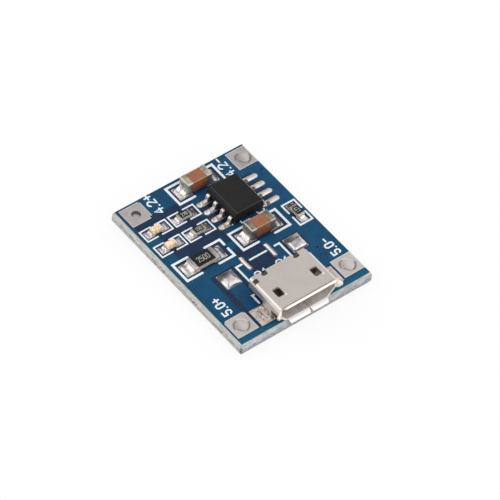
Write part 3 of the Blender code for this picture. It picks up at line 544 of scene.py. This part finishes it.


# Solder joints: bright, with dull flux-stained dips and some painted shade

solderLook = {
    "bright": screenColour(232, 227, 222), "dull": screenColour(206, 197, 190),
    "matt": screenColour(218, 207, 202), "mattShade": screenColour(192, 180, 174),
    # Stains, and the dark colour of flux and of painted shade
    "stainAndShade": screenColour(120, 104, 92), "fluxAndShade": screenColour(58, 50, 48),
    "brownGrey": screenColour(150, 140, 126), "roughness": 0.15,
    "leadMetal": 0.60, "barMetal": 0.8, "anchorMetal": 0.55, "anchorRoughness": 0.42, "anchorRelief": 0.03,
    # The leads' places: along the chip, then across it from the left toes to the right feet
    "firstLead": 2.815, "pitch": 1.27,
    "toe": -0.20, "heel": 0.38, "underBody": 1.50, "ankle": 5.58, "foot": 6.21,
    # How a joint flows: its mesh, where its foot is cut, and where its lumps begin above the board
    "voxel": 0.034, "footDepth": 0.005, "trim": 0.001, "liftStart": 0.01, "liftRise": 0.08,
    "lumpScale": 1.6, "fineScale": 2.3, "fineLump": 0.4, "crease": 1.2,  # the crease in radians
    # The rounds of easing and the height of the lumps of each kind of joint
    "flow": {
        "chip_lead": (5, 0.010), "usb_anchor": (6, 0.045), "spare_pad": (9, 0.010), "solder_bar": (6, 0.004),
    },
    "anchors": {"usb_anchor_left": 0.75, "usb_anchor_right": 0.35},  # how much flux each has
    "spareTin": screenColour(211, 207, 206), "spareShade": screenColour(176, 173, 174),
    # Where the dull rear of a spare pad begins, and its colour at the left, partly painted shade, and at the
    # right
    "spares": {
        "spare_pad_left": ((0.58, 0.70), screenColour(84, 76, 70), screenColour(122, 108, 110)),
        "spare_pad_right": ((0.68, 0.76), screenColour(112, 110, 110), screenColour(204, 184, 172)),
    },
}


def spareFinish(node, look):
    # The rear of the pad is dull and dark, the dark partly painted shade, and solder stands bright in front
    # of it
    low, high = boxOf(node)
    material, place = newFinish(node + "Solder", look["roughness"], 1.0)
    wander = (place.noise(1.6, 2.0) - 0.5) * 0.25
    along = share(place.axis("Y"), low.y, high.y) + wander
    across = share(place.axis("X"), low.x, high.x)
    edge, leftRear, rightRear = look["spares"][node]
    rear = along.step(*edge)
    colour = place.noise(1.5, 2.0).step(0.42, 0.66).tint(look["spareTin"], look["spareShade"])
    dark = across.step(0.30, 0.95).tint(leftRear, rightRear)
    colour = (rear * 0.92).tint(colour, dark)
    # Painted shade along the crease where the rear begins, on the left side
    line = 1 - along.away(edge[0]).step(0.0, 0.07)
    colour = (line * (1 - across.step(0.5, 0.9)) * 0.7).tint(colour, look["stainAndShade"])
    rough = look["roughness"] + rear * 0.25
    normal = place.bump(place.noise(2.6, 2.0), 0.014)
    return feed(material, Base_Color=colour, Metallic=1 - rear * across * 0.8, Roughness=rough, Normal=normal)


def barFinish(node, look):
    # Bright along the side that faces the light, and dull brown along the other
    low, high = boxOf(node)
    material, place = newFinish(node + "Solder", look["roughness"], look["barMetal"])
    across = share(place.axis("X"), low.x, high.x) + (place.noise(1.5) - 0.5) * 0.2
    colour = across.step(0.50, 0.72).tint(look["bright"], look["brownGrey"])
    return feed(material, Base_Color=colour, Normal=place.bump(place.noise(2.2, 1.0), 0.006))


def anchorFinish(node, look):
    # Dull flat solder round the leg, with dark flux near it and beside the shell, and painted glints as
    # bright spots
    low, high = boxOf(node)
    middle = (low + high) / 2
    inward = 1 if low.x < 0 else -1  # the way to the shell
    material, place = newFinish(node + "Solder", look["anchorRoughness"], look["anchorMetal"])
    fluxAndShade = look["anchors"][node]
    nearX = place.axis("X").away(middle.x)
    nearY = place.axis("Y").away(middle.y)
    near = 1 - nearX.step(0.45, 0.80).most(nearY.step(0.60, 0.95))
    wall = ((place.axis("X") - middle.x) * inward).step(-0.10, 0.20)
    colour = place.noise(2.4, 3.0).step(0.38, 0.62).tint(look["matt"], look["mattShade"])
    colour = (place.noise(2.8, 2.0).step(0.46, 0.56) * near * fluxAndShade).tint(colour, look["stainAndShade"])
    colour = (place.noise(3.6, 2.0).step(0.44, 0.52) * wall * fluxAndShade).tint(colour, look["fluxAndShade"])
    # Painted glints in small bright spots
    colour = (place.noise(3.4, 1.0).step(0.60, 0.66) * 0.9).tint(colour, look["bright"])
    normal = place.bump(place.noise(3.0, 2.0), look["anchorRelief"])
    return feed(material, Base_Color=colour, Normal=normal)


def leadFinish(look):
    # Plated leads and their solder. Painted shade darkens each right lead in front of its ankle, painted
    # shadow the heels under the body's left side, and darker spots lie in the hollows of the left toes
    material, place = newFinish("leadTin", look["roughness"], look["leadMetal"])
    swirl = place.noise(1.3, 2.0, 0.5)
    colour = swirl.step(0.42, 0.66).tint(look["bright"], look["dull"])
    x = place.axis("X") + (place.noise(2.0) - 0.5) * 0.15
    row = (place.axis("Y") - look["firstLead"]) * (1 / look["pitch"]) + 0.5
    front = 1 - (row.alone("FRACT") - 0.5).step(-0.03, 0.08)  # the side of each lead towards the socket
    # Painted shade in front of the ankles of the right leads
    gap = (1 - x.away(look["ankle"]).step(0.17, 0.27)) * front
    colour = (gap * 0.85).tint(colour, look["fluxAndShade"])
    # Painted shadow on the heels under the body's left side
    heel = x.step(look["heel"], look["heel"] + 0.12)
    heel = heel * (1 - x.step(look["underBody"], look["underBody"] + 0.10))
    heel = heel * (1 - place.axis("Z").step(boardTop + 0.22, boardTop + 0.40))
    colour = (heel * 0.85).tint(colour, look["fluxAndShade"])
    hollow = (1 - x.away(look["toe"]).step(0.05, 0.16)) * place.noise(3.2, 1.0).step(0.42, 0.56)
    colour = (hollow * 0.75).tint(colour, look["stainAndShade"])
    foot = x.step(look["foot"], look["foot"] + 0.20)
    colour = (foot * 0.5).tint(colour, look["matt"])
    rough = look["roughness"] + swirl.step(0.45, 0.75) * 0.20 + foot * 0.15
    normal = place.bump(place.noise(2.2, 1.0), 0.008)
    return feed(material, Base_Color=colour, Roughness=rough, Normal=normal)


leadTin = leadFinish(solderLook)
joints = [("chip_lead", f"chip_lead_{number}", leadTin) for number in range(1, 9)]
for kind, makeFinish in (("usb_anchor", anchorFinish), ("spare_pad", spareFinish), ("solder_bar", barFinish)):
    for side in ("left", "right"):
        name = f"{kind}_{side}"
        joints.append((kind, name, makeFinish(name, solderLook)))
for kind, name, finish in joints:
    flowed = flowedCopy(name, solderLook, *solderLook["flow"][kind])
    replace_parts(makePiece(flowed, name + "_flowed", finish, solderLook["crease"]), name)
print("solder finished")


# Two-ended parts: a dull metal end, with solder drawn up outside its face

endLook = {
    # The painted highlight on the metal's upper edges and the far end's painted shade, then the land's colour
    "rim": screenColour(232, 224, 210), "farEnd": screenColour(112, 110, 106),
    "land": screenColour(186, 182, 192), "metallic": 0.9, "relief": 0.035, "crease": 0.75,  # in radians
    # How dark the end that looks away from the light is: its solder, and the metal on the part
    "capacitor": {
        "metal": screenColour(154, 146, 133), "shade": screenColour(130, 122, 110),
        "roughness": 0.40, "far": 0.35, "farTop": 0.105,
    },
    "paleCapacitor": {
        "metal": screenColour(206, 197, 184), "shade": screenColour(168, 158, 144),
        "roughness": 0.40, "far": 0.35, "farTop": 0.105,
    },
    "resistor": {
        "metal": screenColour(206, 200, 196), "shade": screenColour(170, 162, 156),
        "roughness": 0.30, "far": 0.80, "farTop": 0.55,
    },
    "senseResistor": {
        "metal": screenColour(204, 199, 194), "shade": screenColour(170, 163, 157),
        "roughness": 0.30, "far": 0.22, "farTop": 0.066,
    },
    "light": {
        "metal": screenColour(196, 178, 162), "shade": screenColour(120, 104, 98),
        "roughness": 0.32, "far": 0.25, "farTop": 0.075,
    },
}
twoEnded = {
    "capacitor_1": "paleCapacitor", "capacitor_2": "capacitor", "sense_resistor": "senseResistor",
    "resistor_1": "resistor", "resistor_2": "resistor", "resistor_3": "resistor",
    "light_1": "light", "light_2": "light",
}


def endFinish(part, body, kind, look, solder):
    # Dull metal with a painted highlight along its upper edges on the part itself, and bright solder outside
    # it
    low, high = boxOf(body)
    own = look[kind]
    material, place = newFinish(part + "End", own["roughness"], look["metallic"])
    x = place.axis("X")
    y = place.axis("Y")
    z = place.axis("Z")
    middle = (low + high) / 2
    ends = (x - low.x).least(high.x - x)
    sides = (y - low.y).least(high.y - y)
    far = x - middle.x
    if high.y - low.y > high.x - low.x:
        ends, sides = sides, ends
        far = y - middle.y
    outside = (0 - ends).step(0.05, 0.09).most(1 - z.step(boardTop + 0.05, boardTop + 0.10))
    patch = place.noise(1.8, 2.0, 0.5)
    metal = patch.step(0.38, 0.66).tint(own["metal"], own["shade"])
    # Painted highlight along the metal's upper edges
    edge = (1 - ends.least(sides).step(0.0, 0.12)) * z.step(high.z - 0.12, high.z - 0.04)
    metal = (edge * 0.7).tint(metal, look["rim"])
    bright = place.noise(1.4, 2.0).step(0.46, 0.68).tint(solder["bright"], solder["dull"])
    bright = (place.noise(2.3, 2.0).step(0.50, 0.62) * 0.65).tint(bright, solder["stainAndShade"])
    bright = ((1 - z.step(boardTop + 0.06, boardTop + 0.13)) * 0.6).tint(bright, look["land"])
    dark = far.step(0.0, 0.1) * (outside * (own["far"] - own["farTop"]) + own["farTop"])
    colour = dark.tint(outside.tint(metal, bright), look["farEnd"])
    rough = own["roughness"] + patch * 0.1 - outside * (own["roughness"] - solder["roughness"])
    normal = place.bump(patch * 0.3 + outside * place.noise(2.0, 2.0), look["relief"])
    return feed(material, Base_Color=colour, Roughness=rough, Normal=normal)


for part, kind in twoEnded.items():
    body = part + ("_base" if kind == "light" else "_ceramic")
    finish = endFinish(part, body, kind, endLook, solderLook)
    for side in ("left", "right"):
        name = f"{part}_end_{side}"
        smooth = makePiece(solidCopy(name), name + "_smooth", finish, endLook["crease"])
        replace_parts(smooth, name)
print("part ends finished")


# Ceramic, glaze and resin

ceramicLook = {
    "brown": screenColour(158, 100, 66), "brownShade": screenColour(142, 90, 60),
    # The painted highlight along the upper edges, and the painted shade at the foot of the sides
    "brownHighlight": screenColour(226, 176, 138), "brownFootShade": screenColour(104, 66, 50),
    "white": screenColour(200, 194, 184), "whiteShade": screenColour(176, 168, 158),
    "glaze": screenColour(22, 20, 20), "glazeShade": screenColour(14, 13, 13), "glazeGloss": 0.3,
    "brownRoughness": 0.42, "whiteRoughness": 0.55, "glazeRoughness": 0.42,
}
lensLook = {
    "cream": screenColour(250, 234, 206), "orange": screenColour(240, 186, 138),
    "green": screenColour(214, 220, 204), "speck": screenColour(140, 108, 70),
    "roughness": 0.22, "coat": 0.4, "relief": 0.03,
}


def speckled(name, first, second, scale, roughness, depth, **others):  # the depth of its grain
    material, place = newFinish(name, roughness, **others)
    cloud = place.noise(scale, 4.0, 0.6)
    return feed(
        material, Base_Color=cloud.step(0.35, 0.68).tint(first, second),
        Roughness=roughness + cloud * 0.12, Normal=place.bump(place.noise(scale * 5, 3.0), depth),
    )


def lensFinish(node, look):
    # Cream resin, orange in the middle, and pale green at one end where the die shows, with darker specks
    low, high = boxOf(node)
    material, place = newFinish(node + "Resin", look["roughness"], Coat_Weight=look["coat"])
    across = share(place.axis("X"), low.x, high.x)
    warm = place.noise(3.4, 2.0, 0.5).step(0.44, 0.58) * (1 - across.away(0.5).step(0.25, 0.48))
    colour = (warm * 0.8).tint(look["cream"], look["orange"])
    colour = (across.step(0.74, 0.95) * 0.7).tint(colour, look["green"])
    colour = (place.noise(4.4, 1.0).step(0.60, 0.68) * 0.7).tint(colour, look["speck"])
    normal = place.bump(place.noise(2.5, 2.0), look["relief"])
    return feed(material, Base_Color=colour, Normal=normal)


def capacitorFinish(node, look):
    # Brown ceramic, with a painted highlight along its upper edges and painted shade at the foot of its sides
    low, high = boxOf(node)
    material, place = newFinish(node + "Brown", look["brownRoughness"])
    y = place.axis("Y")
    z = place.axis("Z")
    side = (y - low.y).least(high.y - y)
    colour = place.noise(2.2, 4.0, 0.6).step(0.35, 0.68).tint(look["brown"], look["brownShade"])
    # Painted shade at the foot of the sides
    foot = (1 - side.step(0.02, 0.06)) * (1 - z.step(low.z, high.z - 0.2))
    colour = (foot * 0.6).tint(colour, look["brownFootShade"])
    # Painted highlight along the upper edges
    edge = (1 - side.step(0.02, 0.10)) * z.step(high.z - 0.09, high.z - 0.03)
    colour = (edge * 0.55).tint(colour, look["brownHighlight"])
    return feed(material, Base_Color=colour, Normal=place.bump(place.noise(11.0, 3.0), 0.004))


white = speckled(
    "whiteCeramic", ceramicLook["white"], ceramicLook["whiteShade"], 4.0,
    ceramicLook["whiteRoughness"], 0.004,
)
glaze = speckled(
    "blackGlaze", ceramicLook["glaze"], ceramicLook["glazeShade"], 3.0,
    ceramicLook["glazeRoughness"], 0.002, Specular_IOR_Level=ceramicLook["glazeGloss"],
)
for part in ("sense_resistor", "resistor_1", "resistor_2", "resistor_3"):
    dress(white, part + "_ceramic")
    dress(glaze, part + "_overcoat")
for number in (1, 2):
    capacitor = f"capacitor_{number}_ceramic"
    lens = f"light_{number}_lens"
    dress(capacitorFinish(capacitor, ceramicLook), capacitor)
    dress(white, f"light_{number}_base")
    dress(lensFinish(lens, lensLook), lens)


# Moulded chip body: dark epoxy with a fine spark-eroded grain

chipLook = {
    # The epoxy and its random shade, and the painted highlight along the top edges
    "epoxy": screenColour(32, 32, 32), "shade": screenColour(24, 24, 25), "edge": screenColour(72, 74, 74),
    "roughness": 0.58, "gloss": 0.24, "relief": 0.012, "bevel": 0.12, "leftBevel": 0.38,
}


def chipFinish(look):
    material, place = newFinish("mouldedEpoxy", look["roughness"], Specular_IOR_Level=look["gloss"])
    grain = place.noise(16.0, 3.0, 0.7)
    cloud = place.noise(0.9, 2.0).step(0.35, 0.7)
    colour = (cloud * 0.6 + grain * 0.3).tint(look["epoxy"], look["shade"])
    low, high = boxOf("chip_body")
    # Painted highlight along the top face's edges, where the bevels begin
    sides = (high.x - look["bevel"], low.y + look["bevel"], high.y - look["bevel"])
    gap = withinBox(place.axis("X"), place.axis("Y"), low.x + look["leftBevel"], *sides)
    edge = (1 - gap.away().step(0.02, 0.08)) * place.axis("Z").step(high.z - 0.10, high.z - 0.05)
    colour = (edge * 0.55).tint(colour, look["edge"])
    rough = look["roughness"] + grain * 0.15
    return feed(material, Base_Color=colour, Roughness=rough, Normal=place.bump(grain, look["relief"]))


dress(chipFinish(chipLook), "chip_body")
print("chip and small parts finished")


# Socket: nickel-plated steel, dark nylon and plated contacts

socketLook = {
    "nickel": screenColour(220, 211, 205), "shade": screenColour(216, 207, 201),
    # The inside, and its painted shade deeper in with its streaks
    "inside": screenColour(230, 219, 212), "shadeAndStreak": screenColour(176, 164, 157),
    # The pale apron, and the painted highlight on the folds, also used for the glints
    "apron": screenColour(216, 213, 211), "fold": screenColour(246, 236, 228),
    "nylon": screenColour(84, 72, 64), "nylonShade": screenColour(66, 56, 50),
    "gold": screenColour(214, 186, 140), "goldShade": screenColour(180, 150, 104),
    "roughness": 0.24, "nylonRoughness": 0.5, "goldRoughness": 0.26, "halfWidth": 3.75, "height": 2.50,
    # The inside: how far in from the sides it starts, and from and to which height above the board
    "insideMargin": 0.78, "insideLow": 0.27, "insideHigh": 2.28,
    # How deep and how high the apron is, and how far below the top the folds start
    "apronDepth": 0.62, "apronHeight": 0.30, "foldHeight": 0.82,
    # The latch windows, and how far from each a painted glint lies, at a small dent
    "windows": ((-2.50, -9.20), (2.40, -9.20)), "dent": (0.50, -0.66),
}


def shellFinish(look):
    # Drawn lines along the sheet, a duller streaked inside with painted shade deeper in, a pale apron,
    # a painted highlight on the folds along the top and painted glints beside the latch windows
    low, high = boxOf("usb_shell")
    material, place = newFinish("nickelSteel", look["roughness"], 1.0)
    x = place.axis("X")
    y = place.axis("Y")
    height = place.axis("Z") - boardTop
    back = y - low.y  # from the mouth
    across = x.away((low.x + high.x) / 2)
    drawn = place.stretched(3.0, 0.3, 3.0).noise(1.0, 2.0, 0.5)
    colour = place.noise(0.5, 2.0).step(0.3, 0.7).tint(look["nickel"], look["shade"])
    reach = (high.x - low.x) / 2 - look["insideMargin"]
    inside = 1 - across.step(reach, reach + 0.02)
    inside = inside * (1 - height.step(look["insideHigh"], look["insideHigh"] + 0.02))
    inside = inside * height.step(look["insideLow"], look["insideLow"] + 0.02)
    streak = place.stretched(1.5, 0.25, 0.8).noise(1.0, 2.0, 0.6).step(0.36, 0.62)
    # Painted shade deeper into the mouth, with streaks
    shadeAndStreak = back.step(0.5, 2.6) * 0.26 + streak * back.step(0.3, 0.9) * 0.46
    colour = inside.tint(colour, shadeAndStreak.tint(look["inside"], look["shadeAndStreak"]))
    apron = 1 - back.step(look["apronDepth"], look["apronDepth"] + 0.12)
    apron = apron * (1 - height.step(look["apronHeight"], look["apronHeight"] + 0.06))
    colour = apron.tint(colour, look["apron"])
    # Painted highlight along the folds near the top of the side walls
    wall = across.step(look["halfWidth"] - 0.06, look["halfWidth"] - 0.02)
    foldLow = look["height"] - look["foldHeight"] + back.step(0.5, 5.0) * 0.27
    fold = wall * (height - foldLow).step(0.0, 0.08)
    colour = fold.tint(colour, look["fold"])
    dentX, dentY = look["dent"]
    glint = None  # how far from the nearest dent
    for windowX, windowY in look["windows"]:
        gap = x.away(windowX + dentX).most(y.away(windowY + dentY))
        glint = glint.least(gap) if glint else gap
    # Painted glint beside each latch window
    glint = (1 - glint.step(0.05, 0.19)) * height.step(look["height"] - 0.10, look["height"] - 0.06)
    colour = glint.tint(colour, look["fold"])
    rough = look["roughness"] + drawn.step(0.3, 0.8) * 0.04 + inside * 0.25 + wall * 0.12
    metallic = 0.86 - inside * 0.56 - fold * 0.55 - glint * 0.6
    return feed(material, Base_Color=colour, Roughness=rough, Metallic=metallic)


dress(shellFinish(socketLook), "usb_shell")
nylon = speckled(
    "darkNylon", socketLook["nylon"], socketLook["nylonShade"], 3.0, socketLook["nylonRoughness"], 0.006,
)
gold = speckled(
    "platedContact", socketLook["gold"], socketLook["goldShade"], 5.0,
    socketLook["goldRoughness"], 0.008, metallic=1.0,
)
dress(nylon, "usb_insulator")
dress(gold, *[f"usb_contact_{number}" for number in range(1, 6)])
print("socket finished")


# White print, drawn as strokes with round ends that stand a hair above the mask

printLook = {
    "ink": screenColour(234, 239, 246), "thin": screenColour(150, 180, 208),
    "code": screenColour(206, 204, 200), "codeShade": screenColour(176, 174, 170),
    "roughness": 0.55, "gloss": 0.3, "codeRoughness": 0.5,
    # How far the ink stands above the mask and reaches into it, and the same for the codes
    "height": 0.018, "sunk": 0.005, "codeHeight": 0.004,
    "lap": 0.002,  # how much higher each further stroke of a character stands
    "endSteps": 6, "mitre": 0.6,  # how round an end is, and what keeps a sharp corner short
    "gap": 1.6, "codeGap": 1.2, "codeSqueeze": 0.60,  # gaps in steps of the characters' grid
}
gridWide, gridHigh = 4.0, 6.0
narrow = {".": 1.0}  # characters that take up less than the grid's width
glyphs = {  # strokes on the grid
    "0": ([(1, 0), (0, 1), (0, 5), (1, 6), (3, 6), (4, 5), (4, 1), (3, 0), (1, 0)],),
    "1": ([(0.8, 4.8), (2, 6), (2, 0)], [(0.8, 0), (3.2, 0)]),
    "2": ([(0, 5), (1, 6), (3, 6), (4, 5), (4, 4), (0.4, 0), (4, 0)],),
    "4": ([(3, 0), (3, 6), (0, 2)], [(0, 2), (4, 2)]),
    "5": ([(4, 6), (0, 6), (0, 3.4), (3, 3.4), (4, 2.4), (4, 1), (3, 0), (1, 0), (0, 1)],),
    "7": ([(0, 6), (4, 6), (1.4, 0)],),
    ".": ([(0.3, 0), (0.7, 0)],),
    "+": ([(0, 3), (4, 3)], [(2, 1), (2, 5)]),
    "-": ([(0.4, 3), (3.6, 3)],),
}


def drawStroke(bm, path, width, low, high):
    # A line with mitred corners and round ends, as a closed solid
    points = [Vector(point) for point in path]
    closed = points[0] == points[-1]
    if closed:
        points.pop()
    rights, lefts = [], []
    for i, here in enumerate(points):
        ways = []
        if i or closed:
            ways.append((here - points[i - 1]).normalized())
        if i + 1 < len(points) or closed:
            ways.append((points[(i + 1) % len(points)] - here).normalized())
        outs = [Vector((way.y, -way.x)) for way in ways]
        step = outs[0]
        if len(outs) == 2:
            step = (outs[0] + outs[1]) / max(1 + outs[0].dot(outs[1]), printLook["mitre"])
        rights.append(bm.verts.new((*(here + step * width / 2), high)))
        lefts.append(bm.verts.new((*(here - step * width / 2), high)))
    faces = []
    for i in range(len(points) - (0 if closed else 1)):
        following = (i + 1) % len(points)
        faces.append(bm.faces.new((rights[i], rights[following], lefts[following], lefts[i])))
    if not closed:
        steps = printLook["endSteps"]
        for middle, first, last in ((points[0], lefts[0], rights[0]), (points[-1], rights[-1], lefts[-1])):
            arm = first.co.xy - middle
            arc = [middle + Matrix.Rotation(math.pi * i / steps, 2) @ arm for i in range(1, steps)]
            faces.append(bm.faces.new([first, *[bm.verts.new((*point, high)) for point in arc], last]))
    solid = bmesh.ops.extrude_face_region(bm, geom=faces)
    moved = [item for item in solid["geom"] if isinstance(item, bmesh.types.BMVert)]
    bmesh.ops.translate(bm, verts=moved, vec=(0, 0, low - high))


def drawText(bm, text, origin, along, height, width, low, high, squeeze, gap):
    # Each character stands on the line from origin, with its top to the left of the way along
    start = Vector(origin)
    ahead = Vector(along).normalized()
    up = Vector((-ahead.y, ahead.x))
    unit = height / gridHigh
    for character in text:
        for i, path in enumerate(glyphs[character]):
            line = [start + (ahead * px * squeeze + up * py) * unit for px, py in path]
            drawStroke(bm, line, width, low, high + i * printLook["lap"])
        start = start + ahead * (narrow.get(character, gridWide) * squeeze + gap) * unit


def inkFinish(look):
    material, place = newFinish("whiteInk", look["roughness"], Specular_IOR_Level=look["gloss"])
    wear = place.noise(7.0, 3.0, 0.6).step(0.60, 0.72)
    return feed(material, Base_Color=(wear * 0.5).tint(look["ink"], look["thin"]))


outlines = (  # the line's path, then its width
    ([(-6.65, 7.175), (-8.045, 7.175), (-8.045, 5.645), (-6.74, 5.645)], 0.18),
    ([(-6.06, 7.175), (-4.785, 7.175), (-4.785, 5.645), (-6.15, 5.645)], 0.18),
    ([(-6.80, 4.645), (-8.085, 4.645), (-8.085, 3.075), (-6.73, 3.075)], 0.18),
    ([(-6.06, 4.645), (-4.805, 4.645), (-4.805, 3.075), (-6.15, 3.075)], 0.18),
    ([(-3.04, 7.175), (-4.345, 7.175), (-4.345, 5.605), (-3.04, 5.605)], 0.18),
    ([(-2.38, 7.175), (-1.075, 7.175), (-1.075, 5.605), (-2.44, 5.605)], 0.18),
    ([(-3.13, 4.605), (-4.395, 4.605), (-4.395, 3.035), (-3.04, 3.035)], 0.18),
    ([(-2.35, 4.605), (-1.115, 4.605), (-1.115, 3.035), (-2.44, 3.035)], 0.18),
    ([(6.55, 0.27), (6.55, 1.53), (8.17, 1.53), (8.17, 0.20)], 0.21),
    ([(6.55, -0.39), (6.55, -1.69), (8.17, -1.69), (8.17, -0.43)], 0.21),
    ([(-5.96, 1.61), (-7.90, 1.61), (-7.90, -1.00), (-5.96, -1.00)], 0.285),
    ([(-3.69, 1.61), (-1.72, 1.61), (-1.72, 0.80)], 0.285),
    ([(-1.72, 0.14), (-1.72, -1.00), (-3.69, -1.00)], 0.285),
    ([(-0.10, 10.49), (-2.14, 10.49), (-2.14, 7.90), (-0.16, 7.90)], 0.29),
    ([(3.00, 10.49), (4.03, 10.49), (4.03, 8.16)], 0.29),
    ([(1.50, 1.62), (-0.51, 1.62), (-0.51, -1.01), (1.50, -1.01)], 0.285),
    ([(3.69, 1.62), (5.69, 1.62), (5.69, -1.01), (3.69, -1.01)], 0.285),
    ([(1.66, 2.36), (1.66, 2.10), (2.68, 2.10)], 0.16),
    ([(3.86, 2.36), (3.98, 2.10), (4.66, 2.10), (4.78, 2.36)], 0.16),
    ([(0.66, 2.47), (0.70, 2.47)], 0.16),
    ([(-1.92, -2.44), (-2.63, -2.44), (-2.63, -5.46)], 0.235),
    ([(-0.80, -2.44), (1.37, -2.44)], 0.22),
    ([(2.52, -2.39), (3.14, -2.39), (3.14, -5.90)], 0.235),
    ([(-3.36, -6.44), (-3.60, -6.44), (-3.60, -7.62)], 0.235),
)
texts = (  # characters, where they start, the way they run, their height, stroke and narrowing
    ("4.2+", (-3.98, 8.12), (0, 1), 1.02, 0.19, 0.92),
    ("4.2-", (5.42, 8.00), (0, 1), 1.02, 0.19, 0.92),
    ("5.0+", (-6.66, -7.02), (0, 1), 0.98, 0.19, 0.78),
    ("5.0-", (7.77, -7.04), (0, 1), 0.98, 0.19, 0.78),
    ("21", (-1.62, -5.14), (1, 0), 1.00, 0.17, 1.0),
    ("01", (1.22, -5.14), (1, 0), 1.00, 0.17, 1.0),
)
bm = bmesh.new()
inkLow = boardTop - printLook["sunk"]
inkHigh = boardTop + printLook["height"]
for path, width in outlines:
    drawStroke(bm, path, width, inkLow, inkHigh)
for text, origin, along, height, width, squeeze in texts:
    drawText(bm, text, origin, along, height, width, inkLow, inkHigh, squeeze, printLook["gap"])
makePiece(bm, "whitePrint", inkFinish(printLook))

codes = (  # characters, the overcoat they are printed on, their height and stroke, and the way they run
    ("2500", "sense_resistor_overcoat", 0.66, 0.054, (1, 0)),
    ("270", "resistor_1_overcoat", 0.42, 0.052, (1, 0)),
    ("150", "resistor_2_overcoat", 0.42, 0.052, (1, 0)),
    ("127", "resistor_3_overcoat", 0.42, 0.052, (0, 1)),
)
squeeze, gap, thick = (printLook[key] for key in ("codeSqueeze", "codeGap", "codeHeight"))
bm = bmesh.new()
for text, node, height, width, along in codes:
    low, high = boxOf(node)
    ahead = Vector(along)
    up = Vector((-ahead.y, ahead.x))
    middle = Vector(((low.x + high.x) / 2, (low.y + high.y) / 2))
    long = (gridWide * squeeze * len(text) + gap * (len(text) - 1)) * height / gridHigh
    start = middle - ahead * long / 2 - up * height / 2
    drawText(bm, text, start, along, height, width, high.z - thick, high.z + thick, squeeze, gap)
codeInk = speckled(
    "codeInk", printLook["code"], printLook["codeShade"], 4.0, printLook["codeRoughness"], 0.002,
)
makePiece(bm, "partCodes", codeInk)
print("print drawn")
